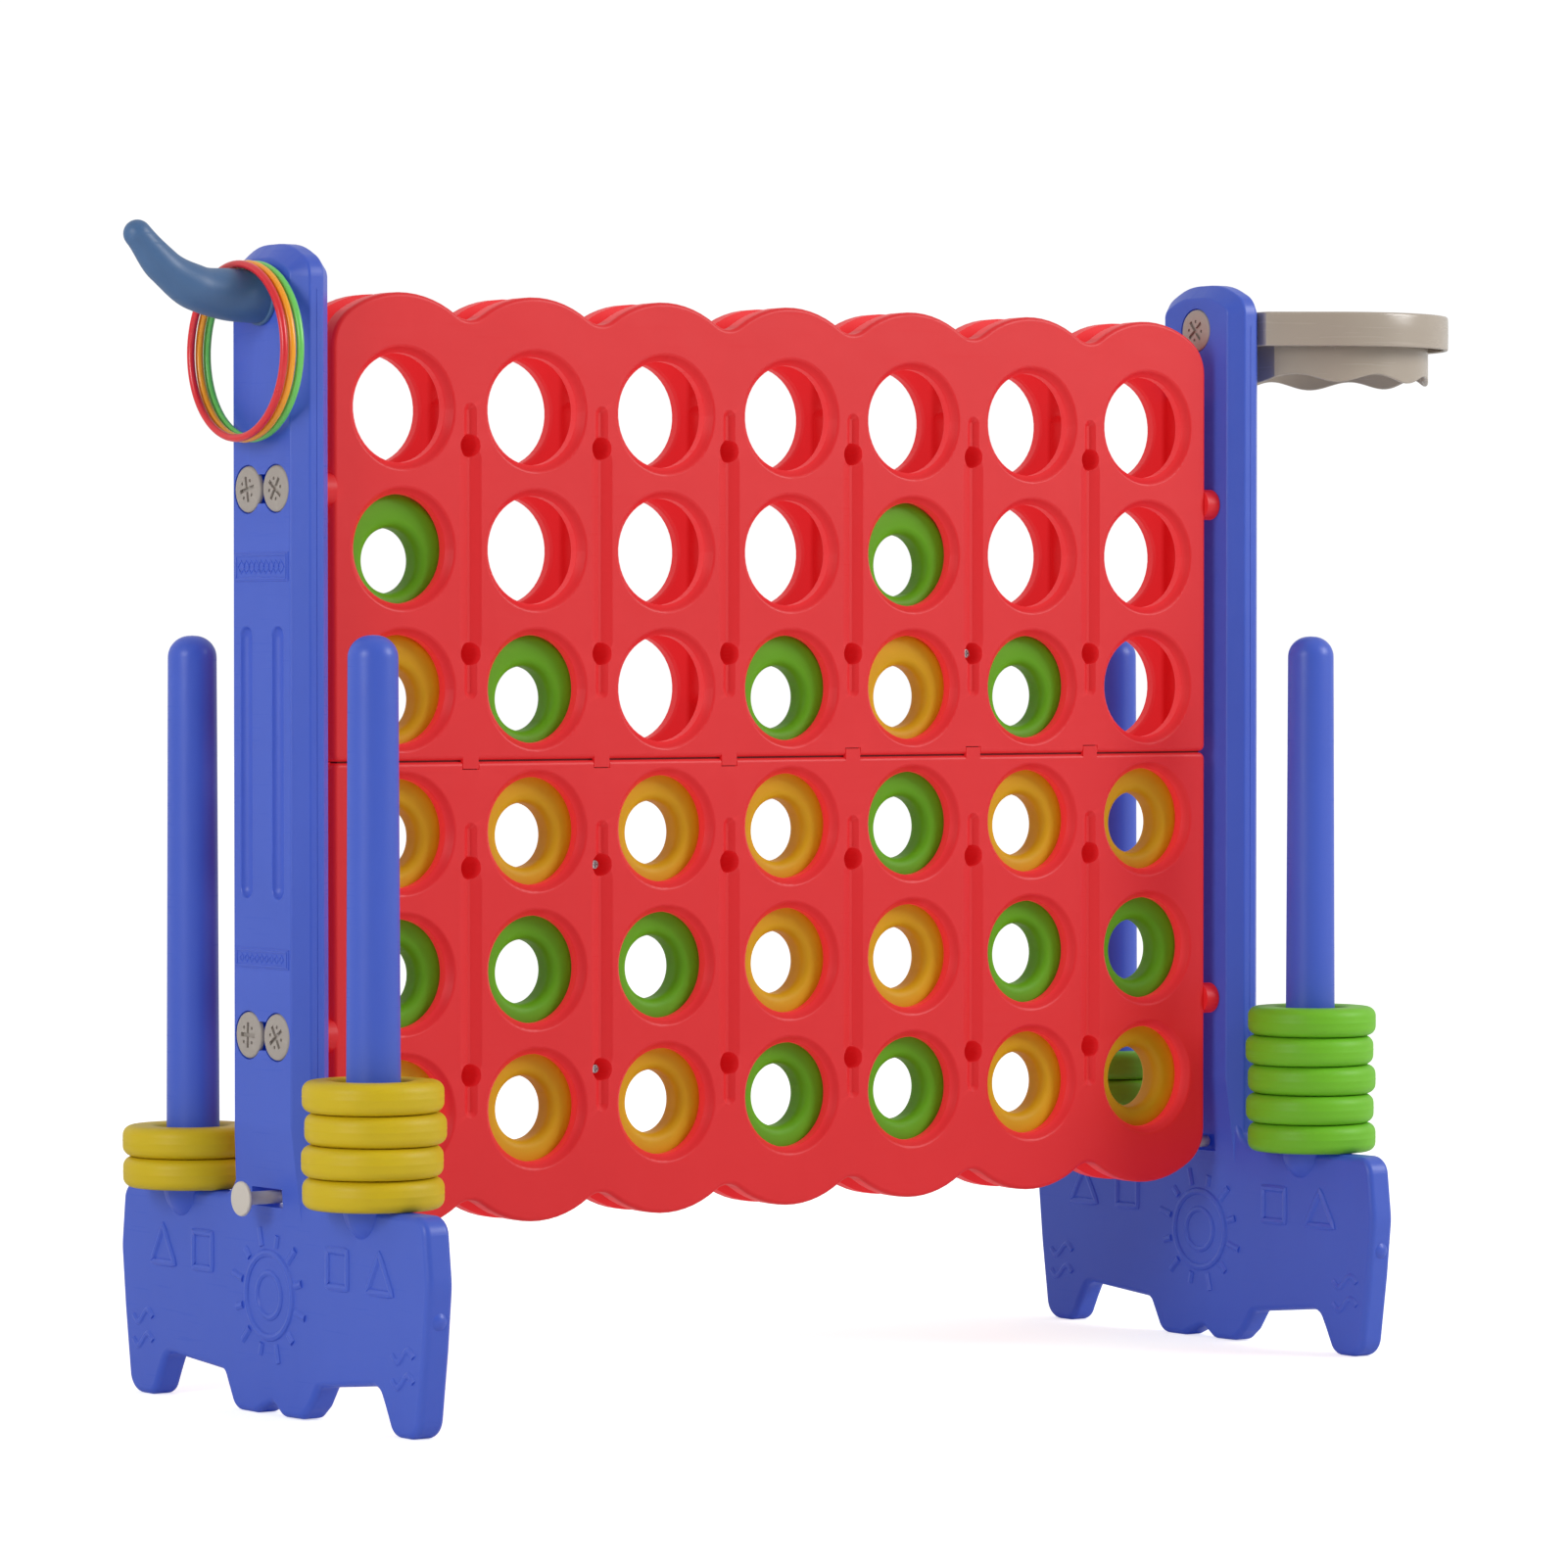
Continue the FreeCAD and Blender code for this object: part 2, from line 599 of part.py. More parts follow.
def frame_cavity():
    """Hollow inside the frame: inset copies of the post and foot, less a wall round every feature."""
    low = POST_FADE_BOTTOM - 20.0
    inner = post_block(low, FRAME_WALL, 0.0).fuse(foot_block(FRAME_WALL, 0.0))
    keep = []
    x0 = FRAME_X - POST_HALF_T
    x1 = FRAME_X + POST_HALF_T
    for dz in (-BOLT_DZ, BOLT_DZ):
        z = SEAM_Z + dz
        keep.append(box(x1 - BOLT_RECESS_DEEP - 3.0, x1, -BOLT_RECESS_HALF_Y - 3.0, BOLT_RECESS_HALF_Y + 3.0,
                        z - BOLT_RECESS_HALF_Z - 3.0, z + BOLT_RECESS_HALF_Z + 3.0))
        for y in (-BOLT_Y, BOLT_Y):
            keep.append(Part.makeCylinder(BOLT_R + BOLT_PLAY + 3.0, x1 - x0, vec(x0, y, z), AX))
            keep.append(Part.makeCylinder(BOLT_SEAT_R + 3.0, BOLT_SINK + 3.5, vec(x1, y, z), AX * -1))
    keep.append(Part.makeCylinder(BOLT_R + BOLT_PLAY + 3.0, x1 - x0, vec(x0, 0, TOP_BOLT_Z), AX))
    keep.append(Part.makeCylinder(BOLT_SEAT_R + 3.0, BOLT_SINK + 3.5, vec(x0, 0, TOP_BOLT_Z), AX))
    for y in (-SLOT_Y, SLOT_Y):
        keep.append(box(x1 - SLOT_DEEP - 3.0, x1, y - SLOT_HALF_W - 3.0, y + SLOT_HALF_W + 3.0,
                        SEAM_Z - SLOT_HALF_H - 3.0, SEAM_Z + SLOT_HALF_H + 3.0))
    keep.append(box(x0, x1, -RELEASE_HALF_Y - 3.0, RELEASE_HALF_Y + 3.0,
                    RELEASE_Z - RELEASE_HALF_Z - 3.0, RELEASE_Z + RELEASE_HALF_Z + 3.0))
    for y in (-PEG_Y, PEG_Y):
        keep.append(box(x0, x1, y - BOSS_R, y + BOSS_R,
                        FOOT_TOP - PEG_SPIGOT_L - 5.0, FOOT_TOP + 5.0))
    return inner.cut(keep)


def slotted_post():
    """Post with two round-bottomed grooves down the middle of its outer face."""
    post = post_block(POST_FADE_BOTTOM - 20.0, 0.0, POST_CREASE_R)
    reach = SLOT_HALF_H - SLOT_HALF_W
    x = POST_OUT + SLOT_R - SLOT_DEEP
    for y in (-SLOT_Y, SLOT_Y):
        groove = Part.makeCylinder(SLOT_R, 2 * reach, vec(x, y, SEAM_Z - reach), AZ)
        top = Part.makeSphere(SLOT_R, vec(x, y, SEAM_Z + reach))
        bottom = Part.makeSphere(SLOT_R, vec(x, y, SEAM_Z - reach))
        post = post.cut(groove.fuse([top, bottom]))
    rims = []
    for edge in edges_in_plane(post, "X", POST_OUT):
        near = abs(edge.BoundBox.Center.y) < SLOT_Y + SLOT_HALF_W
        if near and edge.BoundBox.ZMax < SEAM_Z + SLOT_HALF_H + 1.0:
            rims.append(edge)
    return fillet_or_keep(post, SLOT_LIP_R, rims)


def peg_boss(y):
    """Rounded bulge on the foot under a peg: the lower half of an egg shape."""
    top = vec(FRAME_X, y, FOOT_TOP)
    side = vec(FRAME_X + BOSS_R, y, FOOT_TOP)
    bottom = vec(FRAME_X, y, FOOT_TOP - BOSS_H)
    curve = Part.ArcOfEllipse(Part.Ellipse(bottom, side, top), 0.0, math.pi / 2)
    edges = [curve.toShape(), Part.LineSegment(curve.EndPoint, top).toShape(),
             Part.LineSegment(top, curve.StartPoint).toShape()]
    return Part.Face(Part.Wire(edges)).revolve(top, AZ, 360)


def frame_additions():
    """Everything moulded on to the post and foot: peg bosses, end nubs and two raised plaques."""
    solids = []
    for y in (-PEG_Y, PEG_Y):
        solids.append(peg_boss(y))
    for side in (-1, 1):
        solids.append(Part.makeSphere(NUB_R, vec(FRAME_X, side * (NUB_END_Y + NUB_OUT - NUB_R), NUB_Z)))
    for z, half_y, half_z in PLAQUES:
        plaque = box(POST_OUT - 1.0, POST_OUT + PLAQUE_H, -half_y, half_y, z - half_z, z + half_z)
        solids.append(fillet_or_keep(plaque, 0.7, edges_in_plane(plaque, "X", POST_OUT + PLAQUE_H)))
    return solids


def frame_bolt_cutters():
    """Bolt holes with seats for the heads, and the recess between each pair of heads."""
    cuts = []
    hole_r = BOLT_R + BOLT_PLAY
    for dz in (-BOLT_DZ, BOLT_DZ):
        z = SEAM_Z + dz
        cuts.append(box(POST_OUT - BOLT_RECESS_DEEP, POST_OUT + 5.0, -BOLT_RECESS_HALF_Y, BOLT_RECESS_HALF_Y,
                        z - BOLT_RECESS_HALF_Z, z + BOLT_RECESS_HALF_Z))
        for y in (-BOLT_Y, BOLT_Y):
            cuts.append(Part.makeCylinder(hole_r, 80.0, vec(POST_IN - 10.0, y, z), AX))
            cuts.append(Part.makeCylinder(BOLT_SEAT_R, 10.0, vec(POST_OUT - BOLT_SINK, y, z), AX))
    cuts.append(Part.makeCylinder(hole_r, 80.0, vec(POST_IN - 10.0, 0, TOP_BOLT_Z), AX))
    cuts.append(Part.makeCylinder(BOLT_SEAT_R, 10.0, vec(POST_IN + BOLT_SINK, 0, TOP_BOLT_Z), AX * -1))
    return cuts


def right_frame(bar_hole_end):
    """Right-hand post and foot, with a hole for the release bar from the inner face out to bar_hole_end."""
    body = slotted_post().fuse([foot_block(0.0, FOOT_EDGE_R)] + frame_additions())
    cuts = frame_bolt_cutters()
    for y in (-POST_HALF_Y, POST_HALF_Y):
        cuts.append(box(FRAME_X - PARTING_W / 2.0, FRAME_X + PARTING_W / 2.0, y - PARTING_DEEP, y + PARTING_DEEP,
                        FOOT_STUB_TOP, POST_SHOULDER - 25.0))
    cuts.append(box(POST_IN - 5.0, bar_hole_end, -RELEASE_HALF_Y, RELEASE_HALF_Y,
                    RELEASE_Z - RELEASE_HALF_Z, RELEASE_Z + RELEASE_HALF_Z))
    for y in (-PEG_Y, PEG_Y):
        low = vec(FRAME_X, y, FOOT_TOP - PEG_SPIGOT_L - 1.0)
        cuts.append(Part.makeCylinder(PEG_SPIGOT_R, PEG_SPIGOT_L + 10.0, low, AZ))
    return body.cut(cuts).cut(frame_cavity())


def mirrored(shape):
    return shape.mirror(vec(0, 0, 0), AX)


def peg(side, y):
    """Hollow tapered peg with a round top and a solid spigot down into the foot."""
    x = side * FRAME_X
    base = FOOT_TOP + 0.3
    body = Part.makeCone(PEG_BASE_R, PEG_TOP_R, PEG_TOP - base, vec(x, y, base), AZ)
    body = fillet_or_keep(body, PEG_DOME_R, edges_in_plane(body, "Z", PEG_TOP))
    low = base + PEG_WALL
    high = PEG_TOP - PEG_WALL
    hollow = Part.makeCone(PEG_BASE_R - PEG_WALL, PEG_TOP_R - PEG_WALL, high - low, vec(x, y, low), AZ)
    hollow = fillet_or_keep(hollow, PEG_DOME_R - PEG_WALL, edges_in_plane(hollow, "Z", high))
    spigot = Part.makeCylinder(PEG_SPIGOT_R - PEG_PLAY, PEG_SPIGOT_L, vec(x, y, base - PEG_SPIGOT_L), AZ)
    return body.cut(hollow).fuse(spigot)


# ---------------------------------------------------------------- bolts

def big_bolt(head_x, y, z, way):
    """Coin-headed plastic bolt; its head seats at head_x and its shaft runs along X in direction way."""
    head = Part.makeCylinder(BOLT_HEAD_R, BOLT_HEAD_H, vec(0, 0, 0), AX * -1)
    head = fillet_or_keep(head, BOLT_HEAD_EDGE, edges_in_plane(head, "X", -BOLT_HEAD_H))
    shaft = Part.makeCylinder(BOLT_R, BOLT_L - 6.0, vec(0, 0, 0), AX)
    tip = Part.makeCone(BOLT_R, BOLT_R - 3.0, 6.0, vec(BOLT_L - 6.0, 0, 0), AX)
    bolt = head.fuse([shaft, tip])
    for half_y, half_z in ((BOLT_SLOT_L / 2, BOLT_SLOT_W / 2), (BOLT_SLOT_W / 2, BOLT_SLOT_L / 2)):
        bolt = bolt.cut(box(-BOLT_HEAD_H - 1.0, -BOLT_HEAD_H + BOLT_SLOT_D, -half_y, half_y, -half_z, half_z))
    if way < 0:
        bolt.rotate(vec(0, 0, 0), AZ, 180)
    bolt.translate(vec(head_x, y, z))
    return bolt


def big_bolts():
    """Four bolts through each post into the board, and one each for the horn and the rim."""
    bolts = []
    for side in (-1, 1):
        for dz in (-BOLT_DZ, BOLT_DZ):
            for y in (-BOLT_Y, BOLT_Y):
                bolts.append(big_bolt(side * (POST_OUT - BOLT_SINK + BOLT_SEAT_GAP), y, SEAM_Z + dz, -side))
        bolts.append(big_bolt(side * (POST_IN + BOLT_SINK - BOLT_SEAT_GAP), 0.0, TOP_BOLT_Z, side))
    return Part.makeCompound(bolts)


# ---------------------------------------------------------------- rings and release bar

def ring_section(inset):
    return rounded_wire(((RING_HOLE_R + inset, -RING_T / 2 + inset, RING_EDGE_R - inset),
                         (RING_R - inset, -RING_T / 2 + inset, RING_EDGE_R - inset),
                         (RING_R - inset, RING_T / 2 - inset, RING_EDGE_R - inset),
                         (RING_HOLE_R + inset, RING_T / 2 - inset, RING_EDGE_R - inset)),
                        lambda a, b: vec(a, 0, b))


def ring_flat():
    """A hollow playing ring lying flat, centred on the origin."""
    outer = Part.Face(ring_section(0.0)).revolve(vec(0, 0, 0), AZ, 360)
    inner = Part.Face(ring_section(RING_WALL)).revolve(vec(0, 0, 0), AZ, 360)
    return outer.cut(inner)


def board_ring(flat, column, level):
    """Ring standing in a column; level 0 rests on the release bar."""
    shape = flat.copy()
    shape.rotate(vec(0, 0, 0), AX, 90)
    z = RELEASE_Z + BAR_R + RING_GAP + RING_R + level * (2 * RING_R + RING_GAP)
    shape.translate(vec(column_x(column), 0, z))
    return shape


def peg_ring(flat, side, y, level):
    shape = flat.copy()
    z = FOOT_TOP + RING_GAP + RING_T / 2 + level * (RING_T + RING_GAP)
    shape.translate(vec(side * FRAME_X, y, z))
    return shape


def release_bar():
    """Rod under the columns with a mushroom knob outside the left post."""
    start = -POST_OUT - KNOB_OUT
    rod = Part.makeCylinder(BAR_R, BAR_END_X - start, vec(start, 0, RELEASE_Z), AX)
    knob = Part.makeCylinder(KNOB_R, KNOB_T, vec(start, 0, RELEASE_Z), AX * -1)
    knob = fillet_or_keep(knob, 2.0, knob.Edges)
    neck = Part.makeCone(KNOB_R * 0.6, BAR_R, 6.0, vec(start, 0, RELEASE_Z), AX)
    return rod.fuse([knob, neck])


# ---------------------------------------------------------------- horn, toss hoops and rim

def horn_curve():
    points = [vec(-POST_OUT - out, 0, z) for out, z, r in HORN_PATH]
    curve = Part.BSplineCurve()
    curve.interpolate(points)
    return curve


def horn_radius(out):
    """Radius of the horn at a distance out from the post, by linear steps between the path points."""
    for (o0, z0, r0), (o1, z1, r1) in zip(HORN_PATH, HORN_PATH[1:]):
        if out <= o1:
            return r0 + (r1 - r0) * (out - o0) / (o1 - o0)
    return HORN_PATH[-1][2]


def horn():
    """Curved, tapering horn with a round tip, bolted to the left post through its base."""
    curve = horn_curve()
    first = curve.FirstParameter
    last = curve.LastParameter
    steps = 8
    wires = []
    for i in range(steps + 1):
        t = first + (last - first) * i / steps
        point = curve.value(t)
        tangent = curve.tangent(t)[0]
        if i == 0:
            tangent = vec(-1, 0, 0)
        radius = horn_radius(-POST_OUT - point.x)
        wires.append(Part.Wire([Part.Circle(point, tangent, radius).toShape()]))
    body = Part.makeLoft(wires, True, False)
    tip = Part.makeSphere(HORN_PATH[-1][2], curve.value(last))
    base = Part.makeCylinder(HORN_FLANGE_R, HORN_FLANGE_T, vec(-POST_OUT - 0.3, 0, HORN_PATH[0][1]), AX * -1)
    base = fillet_or_keep(base, 1.5, edges_in_plane(base, "X", -POST_OUT - 0.3 - HORN_FLANGE_T))
    body = body.cut(box(-POST_OUT - 0.3, -POST_OUT + 20.0, -60, 60, 900, 1100))
    body = body.fuse([tip, base])
    bore = Part.makeCylinder(BOLT_R + BOLT_PLAY, TOP_BOLT_REACH + 7.0, vec(-POST_OUT + 5.0, 0, TOP_BOLT_Z), AX * -1)
    return body.cut(bore)


def horn_axis_z(out):
    """Height of the horn's centre line at a distance out from the post."""
    curve = horn_curve()
    line = Part.LineSegment(vec(-POST_OUT - out, 0, 900), vec(-POST_OUT - out, 0, 1100))
    hits = curve.intersect(line)
    if hits:
        return hits[0].Z
    return HORN_PATH[0][1]


def toss_hoop(out):
    """Thin hoop hanging on the horn in a plane square to X."""
    z = horn_axis_z(out) + horn_radius(out) + TOSS_GAP - (TOSS_R - TOSS_TUBE_R)
    return Part.makeTorus(TOSS_R, TOSS_TUBE_R, vec(-POST_OUT - out, 0, z), AX)


def rim_face(radius, z):
    """Plan outline of the rim: a circle drawn out to a flat neck at the post."""
    cx = POST_OUT + RIM_OUT
    neck = RIM_NECK - (RIM_R - radius)
    near = POST_OUT + 0.3
    dx = near - cx
    far = math.hypot(dx, neck)
    turn = math.acos(radius / far)
    toward = math.atan2(neck, dx)
    touch = toward - turn
    ty = radius * math.sin(touch)
    tx = cx + radius * math.cos(touch)
    edges = [Part.LineSegment(vec(near, -neck, z), vec(tx, -ty, z)).toShape(),
             Part.Arc(vec(tx, -ty, z), vec(cx + radius, 0, z), vec(tx, ty, z)).toShape(),
             Part.LineSegment(vec(tx, ty, z), vec(near, neck, z)).toShape(),
             Part.LineSegment(vec(near, neck, z), vec(near, -neck, z)).toShape()]
    return Part.Face(Part.Wire(edges))


def wavy_cutter():
    """Everything below the wavy lower edge of the skirt."""
    cx = POST_OUT + RIM_OUT
    rims = []
    for radius in (60.0, 170.0):
        points = []
        count = SKIRT_WAVES * 8
        for i in range(count):
            angle = 2 * math.pi * i / count
            z = SKIRT_BOTTOM + SKIRT_WAVE * (1.0 + math.sin(SKIRT_WAVES * angle + SKIRT_PHASE))
            points.append(vec(cx + radius * math.cos(angle), radius * math.sin(angle), z))
        curve = Part.BSplineCurve()
        curve.interpolate(points, PeriodicFlag=True)
        rims.append(curve.toShape())
    surface = Part.makeRuledSurface(rims[0], rims[1])
    return surface.extrude(vec(0, 0, -60))


def basket_rim():
    """Toy basketball rim: a flat-topped band with a wavy skirt inside it, bolted to the right post."""
    band = rim_face(RIM_R, RIM_TOP - RIM_BAND_H).extrude(vec(0, 0, RIM_BAND_H))
    band = fillet_or_keep(band, 2.0, edges_in_plane(band, "Z", RIM_TOP))
    hollow = rim_face(RIM_R - RIM_WALL, RIM_TOP - RIM_BAND_H - 1.0).extrude(vec(0, 0, RIM_BAND_H + 1.0 - RIM_WALL))
    skirt_h = RIM_TOP - SKIRT_BOTTOM
    skirt = rim_face(SKIRT_R, SKIRT_BOTTOM).extrude(vec(0, 0, skirt_h - 0.5))
    mouth = rim_face(SKIRT_R - RIM_WALL, SKIRT_BOTTOM - 5.0).extrude(vec(0, 0, skirt_h + 20.0))
    mouth = mouth.cut(box(POST_OUT - 5.0, POST_OUT + 0.3 + 5.0, -80, 80, 900, 1100))
    boss = Part.makeCylinder(RIM_BOSS_R, TOP_BOLT_REACH + 4.0, vec(POST_OUT + 0.3, 0, TOP_BOLT_Z), AX)
    bore = Part.makeCylinder(BOLT_R + BOLT_PLAY, TOP_BOLT_REACH + 2.0, vec(POST_OUT - 1.0, 0, TOP_BOLT_Z), AX)
    body = band.cut(hollow).fuse(skirt).cut(mouth).cut(wavy_cutter())
    return body.fuse(boss).cut(bore)


# ---------------------------------------------------------------- all nodes

def all_nodes():
    nodes = {}
    panel = upper_front_panel()
    nodes["panel_upper_front"] = panel
    nodes["panel_lower_front"] = turned(panel, AY)
    nodes["panel_upper_rear"] = turned(panel, AZ)
    nodes["panel_lower_rear"] = turned(panel, AX)
    nodes["panel_screws"] = panel_screws()
    nodes["frame_right"] = right_frame(BAR_END_X + BAR_END_GAP)
    nodes["frame_left"] = mirrored(right_frame(POST_OUT + 5.0))
    nodes["big_bolts"] = big_bolts()
    for side, word in ((-1, "left"), (1, "right")):
        for y, end in ((-PEG_Y, "front"), (PEG_Y, "rear")):
            nodes["peg_%s_%s" % (word, end)] = peg(side, y)
    flat = ring_flat()
    for column in range(COLUMNS):
        for level in range(BOARD_STACKS[column]):
            nodes["ring_c%d_%d" % (column + 1, level + 1)] = board_ring(flat, column, level)
    for place, count in PEG_STACKS.items():
        side = -1 if place.startswith("left") else 1
        y = -PEG_Y if place.endswith("front") else PEG_Y
        for level in range(count):
            nodes["ring_%s_%d" % (place, level + 1)] = peg_ring(flat, side, y, level)
    nodes["release_bar"] = release_bar()
    nodes["toss_horn"] = horn()
    for name, out in TOSS_OUT.items():
        nodes[name] = toss_hoop(out)
    nodes["basket_rim"] = basket_rim()
    return nodes


def main():
    os.makedirs("parts", exist_ok=True)
    for name, shape in sorted(all_nodes().items()):
        shape.translate(vec(SHIFT_X, 0, 0))
        if not shape.isValid():
            print("not valid:", name)
        shape.exportStep("parts/%s.step" % name)


main()
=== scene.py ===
"""Giant four in a row: blow-moulded lawn game with ring-toss horn, toss hoops and basketball rim."""
import bpy
import bmesh
import json
import math
import random
from mathutils import Matrix, Vector


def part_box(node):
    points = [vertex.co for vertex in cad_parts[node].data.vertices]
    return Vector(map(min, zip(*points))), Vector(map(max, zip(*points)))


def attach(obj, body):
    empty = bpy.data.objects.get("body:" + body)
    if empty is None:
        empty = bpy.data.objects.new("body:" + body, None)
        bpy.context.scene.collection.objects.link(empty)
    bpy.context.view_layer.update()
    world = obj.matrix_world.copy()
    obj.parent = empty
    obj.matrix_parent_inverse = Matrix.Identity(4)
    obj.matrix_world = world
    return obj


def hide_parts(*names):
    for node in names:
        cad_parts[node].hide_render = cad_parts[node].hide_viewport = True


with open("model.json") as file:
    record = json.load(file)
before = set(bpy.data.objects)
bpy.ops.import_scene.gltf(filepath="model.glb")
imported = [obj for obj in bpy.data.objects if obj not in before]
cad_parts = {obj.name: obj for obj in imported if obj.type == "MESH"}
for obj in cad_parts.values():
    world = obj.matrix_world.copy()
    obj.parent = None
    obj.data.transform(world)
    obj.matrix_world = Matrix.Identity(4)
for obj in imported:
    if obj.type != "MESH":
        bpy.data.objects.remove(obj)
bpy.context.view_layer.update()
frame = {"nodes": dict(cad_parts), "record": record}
random.seed(11)

MM = 0.001
STAND = "stand"

# Camera, found from the board's regular grid of holes; metres and degrees in the row frame.
CAM_LOCATION = (-3.7092, -4.8742, 0.6865)
CAM_YAW = 36.96
CAM_PITCH = -1.20
CAM_LENS = 147.77
CAM_SENSOR = 36.0
CAM_CLIP_END = 60.0

# Light: strength of the surroundings away from and on the camera's side, and soft area lights.
WORLD_FAR = 0.74
WORLD_NEAR = 0.15
BACKDROP = 1.02
FLOOR_GLOW = 0.62
FLOOR_HALF = 30.0
LIGHTS = (("left", (-4.9, -1.2, 2.1), (-0.2, 0.0, 0.6), 2.2, 98.0),
          ("right_front", (3.2, -3.4, 2.9), (0.0, 0.0, 0.6), 2.4, 138.0))

# Plastic surface: spread of tone, paling of rubbed edges, size and depth of the moulded grain
TONE = 0.07
WEAR = 0.35
GRAIN = 900.0
BOLT_GRAIN = 1500.0
GRAIN_DEPTH = 0.12 * MM
SWELL_DEPTH = 1.2 * MM

# Painted light inside the board, a stronger emission on its inner faces and window walls: full up to one
# depth and gone at the next, and the same off a column's centre, as a share of the column pitch
PAINTED_GLOW_DEPTH = (24.0 * MM, 30.0 * MM)
PAINTED_GLOW_OFF = (0.39, 0.43)

# Rings: edge radius, hole radius, crown of the flat faces, moulding line round the outside
RING_EDGE = 9.0 * MM
RING_HOLE = 29.5 * MM
RING_CROWN = 0.25 * MM
RING_HOLE_BULGE = 0.1 * MM
RING_LINE_HALF = 0.7 * MM
RING_LINE_OUT = 0.22 * MM
RING_EDGE_STEPS = 7
RING_SEGMENTS = 96
RING_LEAN = 0.5
RING_SHIFT = 2.2 * MM

# Horn centre line: distance out from the post, height above the base centre, radius; and its flange.
HORN_PATH = ((0.0, 0.0, 24.0), (32.0, 0.5, 23.4), (68.0, 5.5, 20.3), (101.0, 23.5, 16.2),
             (128.0, 51.0, 12.5))
HORN_SPANS = 48
HORN_TIP_STEPS = 8
HORN_FLANGE = 26.0 * MM
HORN_FLANGE_T = 4.0 * MM

# Toss hoops: thicker sleeve where the tube's ends meet at the bottom, slight unevenness of the bend
HOOP_STEPS = 144
HOOP_SEGMENTS = 20
HOOP_SLEEVE = 0.05
HOOP_SLEEVE_HALF = 0.05
HOOP_UNEVEN = 0.006
HOOP_WARP = 0.25 * MM

# Basketball rim
RIM_R = 125.0 * MM
RIM_NECK = 60.0 * MM
RIM_WALL = 3.5 * MM
RIM_BAND = 34.0 * MM
RIM_SWELL = 0.2 * MM
RIM_FRONT_STEPS = 96
RIM_SIDE_STEPS = 10
RIM_BACK_STEPS = 12
SKIRT_R = 105.0 * MM
SKIRT_WAVE = 4.0 * MM
SKIRT_WAVES = 8
SKIRT_PHASE = math.pi
SKIRT_FLAT = 14.0 * MM
SKIRT_STEPS = 6
RIM_BOSS_R = 14.0 * MM
RIM_BOSS_DROP = 18.0 * MM
RIM_BOSS_L = 34.5 * MM

# Relief on the feet and posts
FOOT_HALF = 13.5 * MM
PLAQUE_FACE = 20.9 * MM
PLAQUES = ((760.0 * MM, 41.0 * MM, 10.5 * MM), (410.0 * MM, 41.0 * MM, 6.5 * MM))
RELIEF_R = 4.4 * MM
RELIEF_SINK = 2.2 * MM
RELIEF_STEP = 4.0 * MM
FINE_LINE = 0.9
SUN_Z = 108.0 * MM
SUN_RINGS = ((38.0 * MM, 48, 1.0), (20.0 * MM, 30, FINE_LINE))
SUN_RAYS = 12
RAY_START = 45.0 * MM
RAY_ENDS = (62.0 * MM, 56.0 * MM)
SHAPE_LOW = 124.0 * MM
SHAPE_HIGH = 156.0 * MM
SQUARE_Y = 112.0 * MM
SQUARE_HALF = 16.0 * MM
TRIANGLE_Y = 180.0 * MM
TRIANGLE_HALF = 20.0 * MM
TRIANGLE_RISE = 2.0 * MM
WAVE_Y = 216.0 * MM
WAVE_HALF = 17.0 * MM
WAVE_HIGH = 6.0 * MM
WAVE_LIFTS = (50.0 * MM, 72.0 * MM)
WAVE_STEPS = 24
PLAQUE_SINK = 0.3 * MM
PLAQUE_LINE = 1.2 * MM
GEM_LINE = 1.1 * MM
GEMS = 9
GEM_SIZE = 0.52
GEM_SPREAD = 1.8

# Joint between the upper and lower panels: tongues on the lines between columns
COL_PITCH = 146.0 * MM
LINES = (-2.5, -1.5, -0.5, 0.5, 1.5, 2.5)
JOINT_HALF = 0.8 * MM
TONGUE_HALF = 8.5 * MM
NOTCH_HALF = 9.3 * MM
TONGUE_TIP = 7.2 * MM
NOTCH_END = 8.0 * MM
JOINT_END = 507.0 * MM
JOINT_Y = (18.0 * MM, 29.0 * MM)

# Big bolts: head thickness in the CAD model, and the thinner head shown, which ends nearly flush
BOLT_HEAD_CAD = 7.0 * MM
BOLT_HEAD = 5.2 * MM
BOLT_SHAFT = 7.5 * MM
BOLT_TURNS = 9
BOLT_THREAD = 1.4 * MM
BOLT_EDGE = 2.4 * MM
SLOT_TURNS = (45.0, 135.0)
SLOT_LONG = 23.0 * MM
SLOT_WIDE = 3.6 * MM
SLOT_DEEP = 3.2 * MM
PIP_R = 1.6 * MM
PIP_OUT = 9.2 * MM
BOLT_SPINS = (12.0, 47.0, 80.0, 33.0, 5.0)

# Pegs
PEG_DOME = 20.0 * MM
PEG_TAPER = 2.2 * MM
PEG_SPIGOT_R = 10.6 * MM
PEG_STEPS = 12
PEG_SEGMENTS = 72
FOOT_TOP = 195.3 * MM

# Release bar
ROD_R = 6.0 * MM
KNOB_EDGE = 2.2 * MM
COLLAR_END = 13.0 * MM
ROD_STEPS = 24
ROD_SEGMENTS = 48


# ---------------------------------------------------------------- materials

def srgb(r, g, b):
    out = []
    for v in (r, g, b):
        v = v / 255.0
        out.append(v / 12.92 if v <= 0.04045 else ((v + 0.055) / 1.055) ** 2.4)
    return (out[0], out[1], out[2], 1.0)


def centre(node):
    low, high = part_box(node)
    return (Vector(low) + Vector(high)) * 0.5


